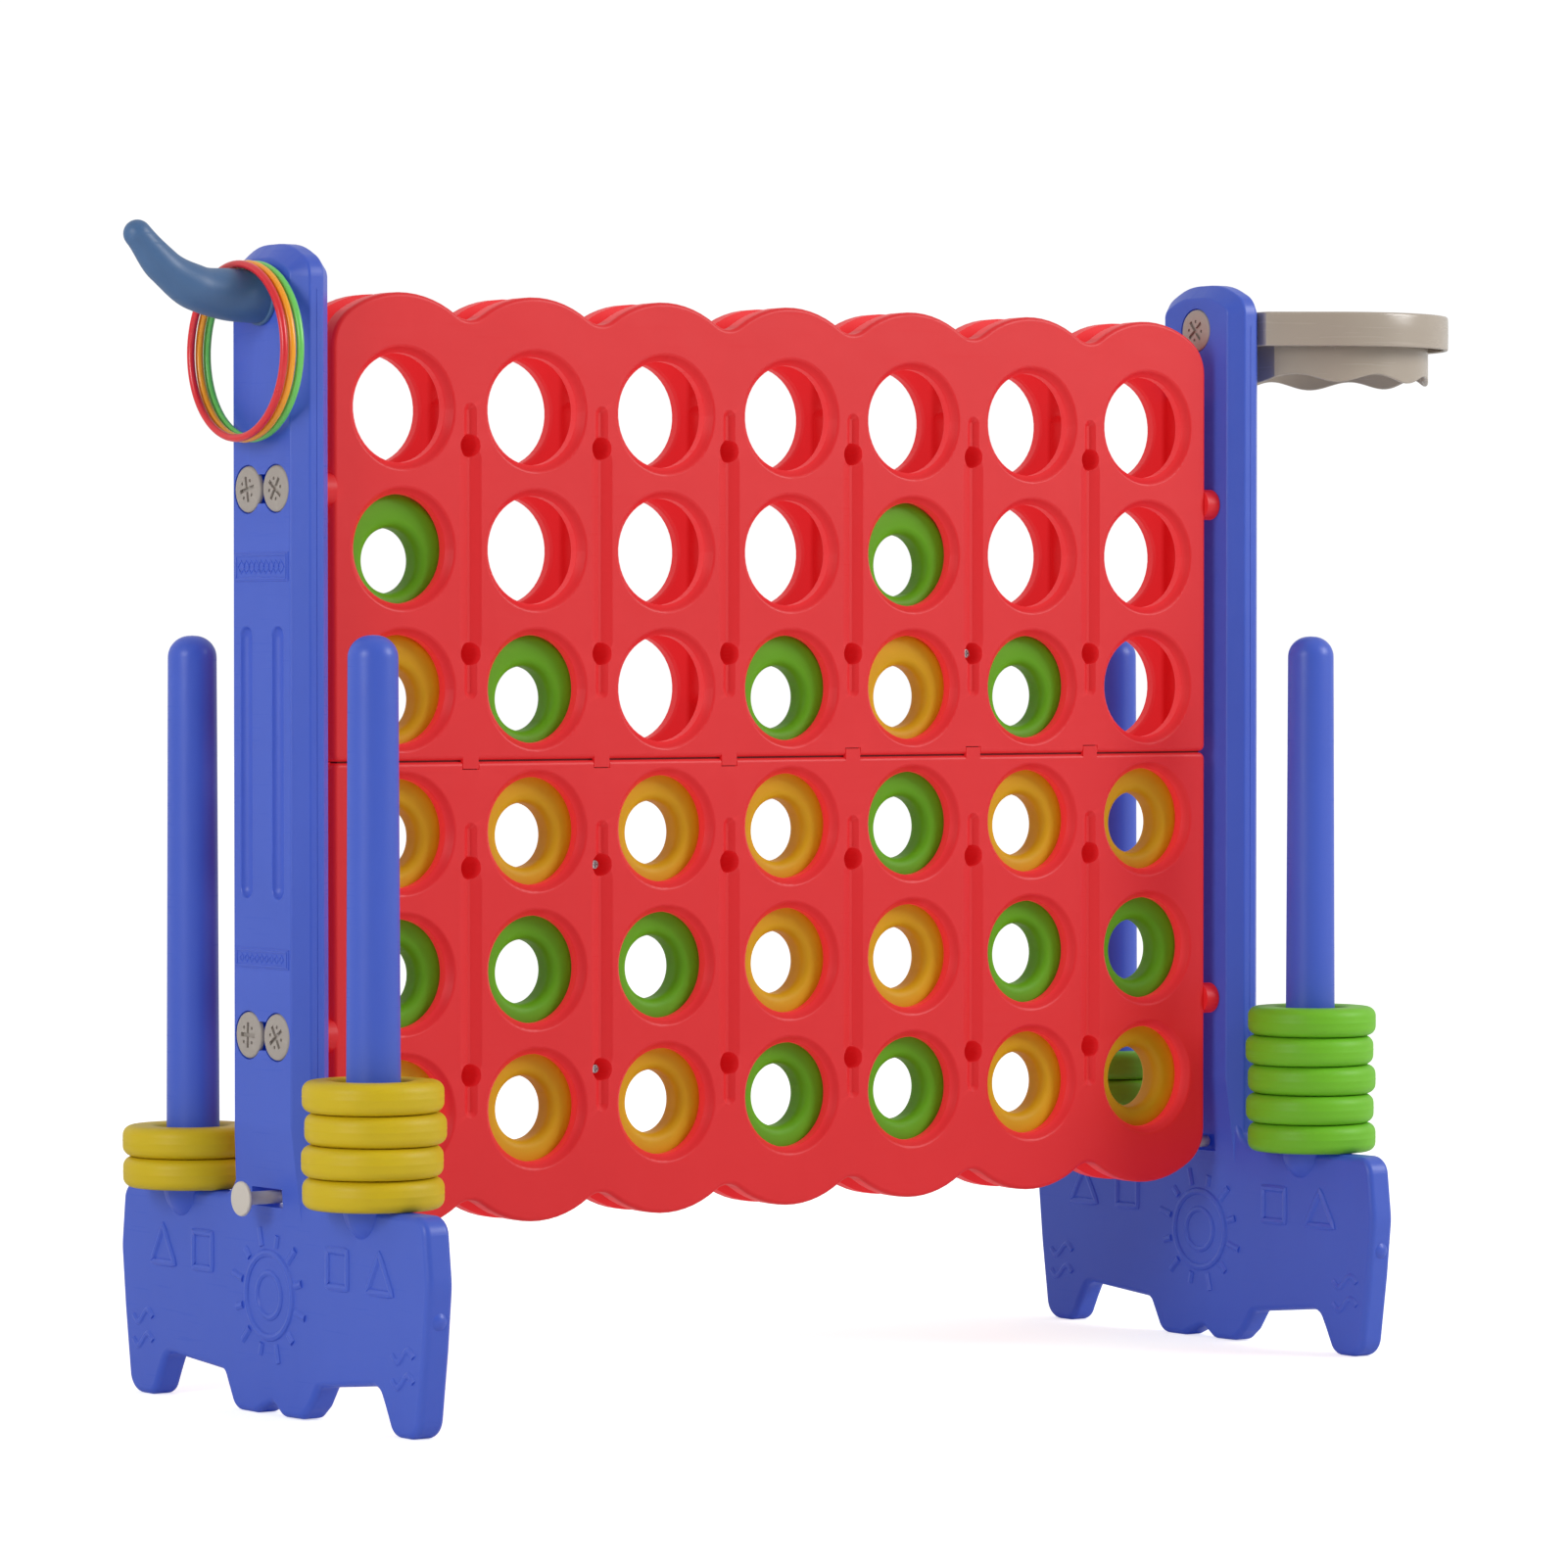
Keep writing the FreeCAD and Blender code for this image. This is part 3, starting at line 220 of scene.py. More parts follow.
class Nodes:
    """Short helper for building a node tree."""

    def __init__(self, material):
        material.use_nodes = True
        self.tree = material.node_tree
        self.tree.nodes.clear()

    def add(self, kind, **values):
        node = self.tree.nodes.new(kind)
        for key, value in values.items():
            if key in node.inputs:
                node.inputs[key].default_value = value
            else:
                setattr(node, key, value)
        return node

    def link(self, a, a_out, b, b_in):
        self.tree.links.new(a.outputs[a_out], b.inputs[b_in])

    def maths(self, operation, first, first_out, second=None):
        """A math node fed by one output, with a fixed second value."""
        node = self.tree.nodes.new("ShaderNodeMath")
        node.operation = operation
        self.link(first, first_out, node, 0)
        if second is not None:
            node.inputs[1].default_value = second
        return node

    def map_range(self, source, source_out, start, end, low=0.0, high=1.0):
        """Maps start..end of an output to low..high, clamped."""
        node = self.tree.nodes.new("ShaderNodeMapRange")
        node.inputs["From Min"].default_value = start
        node.inputs["From Max"].default_value = end
        node.inputs["To Min"].default_value = low
        node.inputs["To Max"].default_value = high
        self.link(source, source_out, node, "Value")
        return node

    def mix(self, factor, first, second):
        """Mixes two colours; each input is a value or a (node, output) pair, and so is the result."""
        node = self.tree.nodes.new("ShaderNodeMix")
        node.data_type = "RGBA"
        for socket, value in ((node.inputs[0], factor), (node.inputs[6], first), (node.inputs[7], second)):
            if isinstance(value, tuple) and hasattr(value[0], "outputs"):
                self.tree.links.new(value[0].outputs[value[1]], socket)
            else:
                socket.default_value = value
        return (node, 2)


def uneven_tone(n, place, colour):
    """Slow cloudy variation in the melt and long flow streaks."""
    cloud = n.add("ShaderNodeTexNoise", Scale=7.0, Detail=3.0, Roughness=0.55)
    n.link(place, "Object", cloud, "Vector")
    stretch = n.add("ShaderNodeMapping")
    stretch.inputs["Scale"].default_value = (30.0, 30.0, 4.0)
    n.link(place, "Object", stretch, "Vector")
    streak = n.add("ShaderNodeTexNoise", Scale=1.0, Detail=2.0, Roughness=0.5)
    n.link(stretch, "Vector", streak, "Vector")
    dark = tuple(c * (1.0 - TONE) for c in colour[:3]) + (1.0,)
    light = tuple(min(1.0, c * (1.0 + TONE) + 0.004) for c in colour[:3]) + (1.0,)
    base = n.mix((cloud, "Fac"), dark, light)
    return n.mix(0.25, base, n.mix((streak, "Fac"), dark, light))


def rubbed_edges(n, broken, base, colour):
    """Slightly paler where the surface turns sharply outwards."""
    shape = n.add("ShaderNodeNewGeometry")
    edge = n.map_range(shape, "Pointiness", 0.52, 0.62)
    rub = n.maths("MULTIPLY", edge, "Result")
    n.link(broken, "Fac", rub, 1)
    amount = n.maths("MULTIPLY", rub, "Value", WEAR)
    pale = tuple(min(1.0, c * 1.35 + 0.035) for c in colour[:3]) + (1.0,)
    return n.mix((amount, "Value"), base, pale)


def patchy_roughness(n, place, broken, rough):
    """Patchy satin with fine scratches."""
    scratch_map = n.add("ShaderNodeMapping")
    scratch_map.inputs["Scale"].default_value = (14.0, 14.0, 420.0)
    scratch_map.inputs["Rotation"].default_value = (0.5, 0.35, 0.2)
    n.link(place, "Object", scratch_map, "Vector")
    scratch = n.add("ShaderNodeTexNoise", Scale=1.0, Detail=1.0, Roughness=0.4)
    n.link(scratch_map, "Vector", scratch, "Vector")
    fine = n.map_range(scratch, "Fac", 0.66, 0.72, 0.0, 0.12)
    patch = n.map_range(broken, "Fac", 0.0, 1.0, rough - 0.05, rough + 0.07)
    total = n.maths("ADD", patch, "Result")
    n.link(fine, "Result", total, 1)
    return total


def moulded_grain(n, place, grain):
    """Pebbled mould texture over a faint, wider unevenness."""
    pebble = n.add("ShaderNodeTexNoise", Scale=grain, Detail=2.0, Roughness=0.5)
    n.link(place, "Object", pebble, "Vector")
    swell = n.add("ShaderNodeTexNoise", Scale=22.0, Detail=1.0, Roughness=0.4)
    n.link(place, "Object", swell, "Vector")
    wide = n.add("ShaderNodeBump", Strength=0.35, Distance=SWELL_DEPTH)
    n.link(swell, "Fac", wide, "Height")
    bump = n.add("ShaderNodeBump", Strength=0.5, Distance=GRAIN_DEPTH)
    n.link(pebble, "Fac", bump, "Height")
    n.link(wide, "Normal", bump, "Normal")
    return bump


def painted_wall_glow_mask(n, place):
    """Mask of the board's inner faces and window walls, which get the stronger painted light; the sockets
    between the columns stay out of it.
    """
    axes = n.add("ShaderNodeSeparateXYZ")
    n.link(place, "Object", axes, "Vector")
    depth = n.maths("ABSOLUTE", axes, "Y")
    inside = n.map_range(depth, "Value", PAINTED_GLOW_DEPTH[0], PAINTED_GLOW_DEPTH[1], 1.0, 0.0)
    shift = n.maths("SUBTRACT", axes, "X", centre("panel_upper_front").x)
    columns = n.maths("DIVIDE", shift, "Value", COL_PITCH)
    off_column = n.maths("PINGPONG", columns, "Value", 0.5)
    window = n.map_range(off_column, "Value", PAINTED_GLOW_OFF[0], PAINTED_GLOW_OFF[1], 1.0, 0.0)
    both = n.maths("MULTIPLY", inside, "Result")
    n.link(window, "Result", both, 1)
    return both


def plastic(name, colour, rough=0.38, grain=GRAIN, spec=0.5, coat=0.0, soft=0.0, glow=None, painted_wall_glow=None):
    """Moulded plastic: uneven tone, pebbled grain, flow streaks, rubbed edges and fine scratches.
    glow is painted light: an even emission that stands in for the light a thin hollow moulding passes on
    from inside; the wall glow is stronger painted light of the same kind on the board's inner faces and
    window walls, which light reaches from both sides."""
    material = bpy.data.materials.new(name)
    n = Nodes(material)
    out = n.add("ShaderNodeOutputMaterial")
    shader = n.add("ShaderNodeBsdfPrincipled")
    n.link(shader, "BSDF", out, "Surface")
    shader.inputs["Specular IOR Level"].default_value = spec
    shader.inputs["Coat Weight"].default_value = coat
    shader.inputs["Coat Roughness"].default_value = 0.25
    place = n.add("ShaderNodeTexCoord")
    if soft > 0:
        shader.inputs["Subsurface Weight"].default_value = soft
        shader.inputs["Subsurface Scale"].default_value = 4.0 * MM
    # Painted light: the plastic emits an even glow, and the board a stronger one on its inner faces and
    # window walls.
    if glow:
        shader.inputs["Emission Color"].default_value = glow
        shader.inputs["Emission Strength"].default_value = 1.0
    if painted_wall_glow:
        lit = n.mix((painted_wall_glow_mask(n, place), "Value"), glow, painted_wall_glow)
        n.link(lit[0], lit[1], shader, "Emission Color")
    broken = n.add("ShaderNodeTexNoise", Scale=55.0, Detail=4.0, Roughness=0.6)
    n.link(place, "Object", broken, "Vector")
    base = rubbed_edges(n, broken, uneven_tone(n, place, colour), colour)
    n.link(base[0], base[1], shader, "Base Color")
    n.link(patchy_roughness(n, place, broken, rough), "Value", shader, "Roughness")
    n.link(moulded_grain(n, place, grain), "Normal", shader, "Normal")
    return material


def steel(name):
    """Zinc-plated screw steel with turning marks."""
    material = bpy.data.materials.new(name)
    n = Nodes(material)
    out = n.add("ShaderNodeOutputMaterial")
    shader = n.add("ShaderNodeBsdfPrincipled", Metallic=1.0)
    n.link(shader, "BSDF", out, "Surface")
    place = n.add("ShaderNodeTexCoord")
    noise = n.add("ShaderNodeTexNoise", Scale=700.0, Detail=3.0)
    n.link(place, "Object", noise, "Vector")
    base = n.mix((noise, "Fac"), (0.42, 0.42, 0.44, 1.0), (0.66, 0.66, 0.68, 1.0))
    n.link(base[0], base[1], shader, "Base Color")
    n.link(n.map_range(noise, "Fac", 0.0, 1.0, 0.25, 0.5), "Result", shader, "Roughness")
    bump = n.add("ShaderNodeBump", Strength=0.3, Distance=0.1 * MM)
    n.link(noise, "Fac", bump, "Height")
    n.link(bump, "Normal", shader, "Normal")
    return material


# Name: (colour, other values of plastic())
PLASTICS = {
    # board_red glows: painted light that brightens the whole board and, more strongly, its inner faces and
    # window walls.
    "board_red": ((182, 34, 38), {"rough": 0.42, "soft": 0.05, "spec": 0.3,
                                  "glow": (0.25, 0.003, 0.004, 1.0),
                                  "painted_wall_glow": (0.39, 0.014, 0.017, 1.0)}),
    # A darker copy of the board red: painted shade for the deep joint between the panels.
    "board_red_painted_shade": ((96, 14, 18), {"rough": 0.6, "spec": 0.2}),
    # frame_blue glows: painted light, an even blue emission that lifts the shaded faces of the side frames.
    "frame_blue": ((66, 91, 181), {"rough": 0.36, "soft": 0.03, "spec": 0.4,
                                   "glow": (0.0, 0.007, 0.095, 1.0)}),
    "ring_yellow": ((206, 178, 12), {"rough": 0.48, "soft": 0.04, "spec": 0.35}),
    "ring_green": ((112, 188, 34), {"rough": 0.48, "soft": 0.04, "spec": 0.35}),
    # Darker, oranger copies of the ring colours for rings standing in the board: painted shade and painted
    # red bounce light from the board.
    "ring_yellow_painted_shade": ((212, 162, 8), {"rough": 0.5, "soft": 0.04, "spec": 0.25}),
    "ring_green_painted_shade": ((99, 167, 13), {"rough": 0.5, "soft": 0.04, "spec": 0.25}),
    "bolt_beige": ((164, 156, 149), {"rough": 0.5, "grain": BOLT_GRAIN}),
    "bar_beige": ((206, 198, 188), {"rough": 0.42}),
    "horn_blue": ((68, 104, 148), {"rough": 0.42}),
    "rim_beige": ((170, 158, 144), {"rough": 0.24, "coat": 0.3}),
    "hoop_red": ((220, 34, 44), {"rough": 0.28, "coat": 0.2}),
    "hoop_orange": ((248, 164, 22), {"rough": 0.28, "coat": 0.2}),
    "hoop_green": ((108, 206, 94), {"rough": 0.28, "coat": 0.2}),
}
MATERIALS = {name: plastic(name, srgb(*colour), **values) for name, (colour, values) in PLASTICS.items()}
MATERIALS["screw_steel"] = steel("screw_steel")


# ---------------------------------------------------------------- mesh helpers

def make_piece(name, verts, faces, body, slot, replaced=(), sharp=35.0, look=None):
    """A named mesh piece that rides a body and takes a material slot; look names another material."""
    mesh = bpy.data.meshes.new(name)
    mesh.from_pydata([tuple(v) for v in verts], [], faces)
    mesh.validate()
    tidy = bmesh.new()
    tidy.from_mesh(mesh)
    bmesh.ops.remove_doubles(tidy, verts=tidy.verts, dist=1e-6)
    bmesh.ops.recalc_face_normals(tidy, faces=tidy.faces)
    tidy.to_mesh(mesh)
    tidy.free()
    return finish_piece(name, mesh, body, slot, replaced, sharp, look)


def finish_piece(name, mesh, body, slot, replaced=(), sharp=35.0, look=None):
    obj = bpy.data.objects.new(name, mesh)
    bpy.context.scene.collection.objects.link(obj)
    mesh.shade_smooth()
    mesh.set_sharp_from_angle(angle=math.radians(sharp))
    mesh.materials.clear()
    mesh.materials.append(MATERIALS[look or slot])
    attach(obj, body)
    if replaced:
        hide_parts(*replaced)
    return obj


def lathe(profile, segments, closed):
    """Turns a profile of (radius, height) points about Z; closed joins the last point to the first."""
    verts = []
    faces = []
    count = len(profile)
    for k in range(segments):
        angle = 2.0 * math.pi * k / segments
        for r, h in profile:
            verts.append(Vector((r * math.cos(angle), r * math.sin(angle), h)))
    spans = count if closed else count - 1
    for k in range(segments):
        nxt = (k + 1) % segments
        for i in range(spans):
            j = (i + 1) % count
            faces.append((k * count + i, nxt * count + i, nxt * count + j, k * count + j))
    return verts, faces


def corner(cx, cy, radius, start, steps):
    """Points round a quarter circle from angle start, in degrees."""
    points = []
    for i in range(steps + 1):
        angle = math.radians(start + 90.0 * i / steps)
        points.append((cx + radius * math.cos(angle), cy + radius * math.sin(angle)))
    return points


def sweep(points, radii, segments, capped=True):
    """Round tube through points, with the section kept square to the path."""
    verts = []
    faces = []
    count = len(points)
    side = None
    for i in range(count):
        ahead = points[min(i + 1, count - 1)]
        behind = points[max(i - 1, 0)]
        run = (ahead - behind).normalized()
        if side is None:
            side = run.orthogonal().normalized()
        side = (side - run * side.dot(run)).normalized()
        up = run.cross(side)
        for k in range(segments):
            angle = 2.0 * math.pi * k / segments
            verts.append(points[i] + (side * math.cos(angle) + up * math.sin(angle)) * radii[i])
    for i in range(count - 1):
        for k in range(segments):
            nxt = (k + 1) % segments
            faces.append((i * segments + k, i * segments + nxt,
                          (i + 1) * segments + nxt, (i + 1) * segments + k))
    if capped:
        faces.append(tuple(range(segments))[::-1])
        faces.append(tuple(range((count - 1) * segments, count * segments)))
    return verts, faces


def merge(parts):
    """Joins several (verts, faces) lists into one."""
    verts = []
    faces = []
    for part_verts, part_faces in parts:
        offset = len(verts)
        verts.extend(part_verts)
        for face in part_faces:
            faces.append(tuple(i + offset for i in face))
    return verts, faces


def moved(part, matrix):
    return [matrix @ v for v in part[0]], part[1]


def solids(node):
    """Bounding boxes of the separate solids in a CAD node."""
    mesh = bmesh.new()
    mesh.from_mesh(frame["nodes"][node].data)
    bmesh.ops.remove_doubles(mesh, verts=mesh.verts, dist=2e-5)
    seen = set()
    boxes = []
    for start in mesh.verts:
        if start.index in seen:
            continue
        stack = [start]
        seen.add(start.index)
        low = start.co.copy()
        high = start.co.copy()
        while stack:
            vert = stack.pop()
            for axis in range(3):
                low[axis] = min(low[axis], vert.co[axis])
                high[axis] = max(high[axis], vert.co[axis])
            for edge in vert.link_edges:
                other = edge.other_vert(vert)
                if other.index not in seen:
                    seen.add(other.index)
                    stack.append(other)
        boxes.append((low, high))
    mesh.free()
    return boxes


# ---------------------------------------------------------------- rings, pegs, bar

def ring_profile(outer, half):
    """Rounded ring section with a faint moulding line round the outside."""
    e = RING_EDGE
    steps = RING_EDGE_STEPS
    middle = (outer + RING_HOLE) * 0.5
    points = []
    points += corner(outer - e, half - e, e, 0.0, steps)
    points.append((middle, half + RING_CROWN))
    points += corner(RING_HOLE + e, half - e, e, 90.0, steps)
    points.append((RING_HOLE - RING_HOLE_BULGE, 0.0))
    points += corner(RING_HOLE + e, -half + e, e, 180.0, steps)
    points.append((middle, -half - RING_CROWN))
    points += corner(outer - e, -half + e, e, 270.0, steps)
    points.append((outer, -RING_LINE_HALF))
    points.append((outer + RING_LINE_OUT, 0.0))
    points.append((outer, RING_LINE_HALF))
    return points


def build_rings():
    """Every playing ring, standing in the board or lying on a peg."""
    for node in sorted(frame["nodes"]):
        if not node.startswith("ring_"):
            continue
        low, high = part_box(node)
        size = Vector(high) - Vector(low)
        upright = node.startswith("ring_c")
        outer = size.x * 0.5
        half = (size.y if upright else size.z) * 0.5
        part = lathe(ring_profile(outer, half), RING_SEGMENTS, True)
        spin = Matrix.Rotation(random.uniform(0, math.tau), 4, "Z")
        place = Matrix.Translation(centre(node))
        if upright:
            lean = Matrix.Rotation(math.radians(random.uniform(-RING_LEAN, RING_LEAN)), 4, "X")
            turn = lean @ Matrix.Rotation(math.pi / 2, 4, "X")
        else:
            shift = Vector((random.uniform(-1, 1), random.uniform(-1, 1), 0.0)) * RING_SHIFT
            place = Matrix.Translation(shift) @ place
            turn = Matrix.Identity(4)
        slot = "ring_yellow"
        for entry in frame["record"]["subparts"]:
            if entry["node"] == node:
                slot = entry["material_slot"]
        # Rings standing in the board take the darker copy of their colour: painted shade and painted red
        # bounce light.
        look = slot + "_painted_shade" if upright else slot
        make_piece(node + "_body", *moved(part, place @ turn @ spin), body=node, slot=slot, replaced=(node,),
                   look=look)


def build_pegs():
    """Tapered pegs with a domed top and a collar line where they enter the foot."""
    for node in sorted(frame["nodes"]):
        if not node.startswith("peg_"):
            continue
        low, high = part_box(node)
        mid = centre(node)
        top = high[2]
        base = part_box("frame_left")[0][2] + FOOT_TOP
        r0 = (high[0] - low[0]) * 0.5
        r1 = r0 - PEG_TAPER
        dome = PEG_DOME
        profile = [(0.0, low[2]), (PEG_SPIGOT_R - 1.1 * MM, low[2]), (PEG_SPIGOT_R, low[2] + 1.5 * MM),
                   (PEG_SPIGOT_R, base), (r0 - 0.8 * MM, base), (r0, base + 0.8 * MM)]
        for i in range(1, PEG_STEPS):
            t = i / PEG_STEPS
            profile.append((r0 + (r1 - r0) * t, base + (top - dome - base) * t))
        for i in range(PEG_STEPS + 1):
            angle = math.radians(90.0 * i / PEG_STEPS)
            profile.append((r1 - dome + dome * math.cos(angle),
                            top - dome + (dome - 0.2 * MM) * math.sin(angle)))
        profile.append((0.0, top))
        part = lathe(profile, PEG_SEGMENTS, False)
        place = Matrix.Translation(Vector((mid.x, mid.y, 0.0)))
        make_piece(node + "_body", *moved(part, place), body=STAND, slot="frame_blue", replaced=(node,))


def build_release_bar():
    """Rod with a mushroom knob and a moulded collar."""
    low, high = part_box("release_bar")
    mid = centre("release_bar")
    knob = (high[2] - low[2]) * 0.5
    length = high[0] - low[0]
    profile = [(0.0, 0.0), (knob * 0.55, 0.15 * MM), (knob * 0.85, 0.6 * MM)]
    for degrees in range(15, 91, 15):
        angle = math.radians(degrees)
        profile.append((knob - KNOB_EDGE + KNOB_EDGE * math.sin(angle),
                        2.6 * MM - 2.0 * MM * math.cos(angle)))
    profile += [(knob, 3.4 * MM), (knob - 1.2 * MM, 5.0 * MM), (knob * 0.62, 5.4 * MM),
                (knob * 0.5, 7.5 * MM), (ROD_R + 0.6 * MM, COLLAR_END - 2.0 * MM), (ROD_R, COLLAR_END)]
    for i in range(1, ROD_STEPS):
        profile.append((ROD_R, COLLAR_END + (length - COLLAR_END - 3.0 * MM) * i / ROD_STEPS))
    profile += [(ROD_R, length - 2.0 * MM), (ROD_R - 2.0 * MM, length), (0.0, length)]
    part = lathe(profile, ROD_SEGMENTS, False)
    turn = Matrix.Rotation(math.pi / 2, 4, "Y")
    place = Matrix.Translation(Vector((low[0], mid.y, mid.z)))
    make_piece("release_bar_body", *moved(part, place @ turn), body="release_bar", slot="bar_beige",
               replaced=("release_bar",))


# ---------------------------------------------------------------- bolts and screws

def cut_mesh(part, cutters):
    """Mesh of part with the cutters' solids taken away."""
    objs = []
    for i, (verts, faces) in enumerate([part] + cutters):
        mesh = bpy.data.meshes.new("cut%d" % i)
        mesh.from_pydata([tuple(v) for v in verts], [], faces)
        tidy = bmesh.new()
        tidy.from_mesh(mesh)
        bmesh.ops.remove_doubles(tidy, verts=tidy.verts, dist=1e-6)
        bmesh.ops.recalc_face_normals(tidy, faces=tidy.faces)
        tidy.to_mesh(mesh)
        tidy.free()
        obj = bpy.data.objects.new("cut%d" % i, mesh)
        bpy.context.scene.collection.objects.link(obj)
        objs.append(obj)
    for cutter in objs[1:]:
        modifier = objs[0].modifiers.new("cut", "BOOLEAN")
        modifier.object = cutter
        modifier.operation = "DIFFERENCE"
        modifier.solver = "EXACT"
    result = bpy.data.meshes.new_from_object(objs[0].evaluated_get(bpy.context.evaluated_depsgraph_get()))
    for obj in objs:
        mesh = obj.data
        bpy.data.objects.remove(obj)
        bpy.data.meshes.remove(mesh)
    return result


def block(x, y, z, sx, sy, sz):
    """Box centred at x, y, z."""
    verts = []
    for dx in (-0.5, 0.5):
        for dy in (-0.5, 0.5):
            for dz in (-0.5, 0.5):
                verts.append(Vector((x + dx * sx, y + dy * sy, z + dz * sz)))
    faces = [(0, 1, 3, 2), (4, 6, 7, 5), (0, 4, 5, 1), (2, 3, 7, 6), (0, 2, 6, 4), (1, 5, 7, 3)]
    return verts, faces


def bolt_mesh(radius, length):
    """Coin-headed bolt along +Z: head below zero, threaded shaft above; cross slot and four pips."""
    head = BOLT_HEAD
    profile = [(0.0, -head + 0.2 * MM), (radius * 0.5, -head + 0.1 * MM),
               (radius - 2.6 * MM, -head + 0.3 * MM)]
    for degrees in (20, 45, 70, 90):
        angle = math.radians(degrees)
        profile.append((radius - BOLT_EDGE + BOLT_EDGE * math.sin(angle),
                        -head + 2.8 * MM - BOLT_EDGE * math.cos(angle)))
    profile += [(radius, -0.6 * MM), (radius - 0.6 * MM, 0.0), (BOLT_SHAFT + 0.6 * MM, 0.0),
                (BOLT_SHAFT, 0.8 * MM)]
    root = BOLT_SHAFT - BOLT_THREAD
    pitch = (length - 16.0 * MM) / BOLT_TURNS
    for i in range(BOLT_TURNS):
        z = 7.0 * MM + i * pitch
        profile += [(root, z), (root, z + pitch * 0.3), (BOLT_SHAFT, z + pitch * 0.5),
                    (BOLT_SHAFT, z + pitch * 0.75)]
    profile += [(root, length - 8.0 * MM), (BOLT_SHAFT - 3.0 * MM, length), (0.0, length)]
    body = lathe(profile, 64, False)
    cutters = []
    for turn in SLOT_TURNS:
        slot = block(0, 0, -head + SLOT_DEEP * 0.5 - 1.0 * MM, SLOT_LONG, SLOT_WIDE, SLOT_DEEP + 2.0 * MM)
        cutters.append(moved(slot, Matrix.Rotation(math.radians(turn), 4, "Z")))
    for turn in (0.0, 90.0, 180.0, 270.0):
        angle = math.radians(turn)
        pip = lathe([(0.0, -head - MM), (PIP_R, -head - MM), (PIP_R, -head + 1.8 * MM),
                     (0.0, -head + 2.4 * MM)], 16, False)
        out = Vector((PIP_OUT * math.cos(angle), PIP_OUT * math.sin(angle), 0))
        cutters.append(moved(pip, Matrix.Translation(out)))
    return cut_mesh(body, cutters)


def build_bolts():
    """Places one bolt mesh at every bolt of the CAD group."""
    first = None
    for index, (low, high) in enumerate(solids("big_bolts")):
        mid = (low + high) * 0.5
        outward = abs(mid.y) > 5 * MM
        side = 1.0 if mid.x > centre("big_bolts").x else -1.0
        radius = (high.z - low.z) * 0.5
        length = (high.x - low.x) - BOLT_HEAD_CAD
        if first is None:
            first = bolt_mesh(radius, length)
        mesh = first.copy()
        way = -side if outward else side
        head_x = high.x if way < 0 else low.x
        seat = head_x + way * BOLT_HEAD_CAD
        turn = Matrix.Rotation(math.radians(90.0 * way), 4, "Y")
        spin = Matrix.Rotation(math.radians(BOLT_SPINS[index % len(BOLT_SPINS)]), 4, "Z")
        mesh.transform(Matrix.Translation(Vector((seat, mid.y, mid.z))) @ turn @ spin)
        finish_piece("big_bolt_%d" % (index + 1), mesh, STAND, "bolt_beige", sharp=30.0)
    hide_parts("big_bolts")


# ---------------------------------------------------------------- horn and toss hoops

def horn_line(x0, z0, count):
    """Points and radii along the horn's centre line, smoothed through the path points."""
    keys = [Vector((x0 - out * MM, 0.0, z0 + up * MM)) for out, up, r in HORN_PATH]
    radii = [r * MM for out, up, r in HORN_PATH]
    points = []
    sizes = []
    spans = len(keys) - 1
    for i in range(count + 1):
        t = spans * i / count
        k = min(int(t), spans - 1)
        f = t - k
        p1 = keys[k]
        p2 = keys[k + 1]
        p0 = keys[k - 1] if k > 0 else p1 * 2 - p2
        p3 = keys[k + 2] if k + 2 <= spans else p2 * 2 - p1
        point = 0.5 * ((2 * p1) + (p2 - p0) * f + (2 * p0 - 5 * p1 + 4 * p2 - p3) * f ** 2
                       + (3 * p1 - p0 - 3 * p2 + p3) * f ** 3)
        points.append(point)
        blend = f * f * (3 - 2 * f)
        sizes.append(radii[k] * (1 - blend) + radii[k + 1] * blend)
    return points, sizes


def build_horn():
    """Curved horn with a rounded tip and a flange at the post."""
    low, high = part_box("toss_horn")
    x0 = high[0]
    z0 = low[2] + HORN_FLANGE
    points, sizes = horn_line(x0, z0, HORN_SPANS)
    run = (points[-1] - points[-2]).normalized()
    tip = points[-1].copy()
    tip_r = HORN_PATH[-1][2] * MM
    for i in range(1, HORN_TIP_STEPS + 1):
        angle = math.radians(90.0 * i / HORN_TIP_STEPS)
        points.append(tip + run * tip_r * math.sin(angle))
        sizes.append(max(tip_r * math.cos(angle), 0.2 * MM))
    body = sweep(points, sizes, 56)
    flange = [(0.0, 0.0), (HORN_FLANGE - 0.6 * MM, 0.0), (HORN_FLANGE, 0.8 * MM), (HORN_FLANGE, 2.6 * MM),
              (HORN_FLANGE - 0.5 * MM, 3.5 * MM), (HORN_FLANGE - 1.6 * MM, HORN_FLANGE_T),
              (0.0, HORN_FLANGE_T)]
    disc = moved(lathe(flange, 64, False),
                 Matrix.Translation(Vector((x0, 0, z0))) @ Matrix.Rotation(-math.pi / 2, 4, "Y"))
    make_piece("toss_horn_body", *merge([body, disc]), body=STAND, slot="horn_blue", replaced=("toss_horn",))


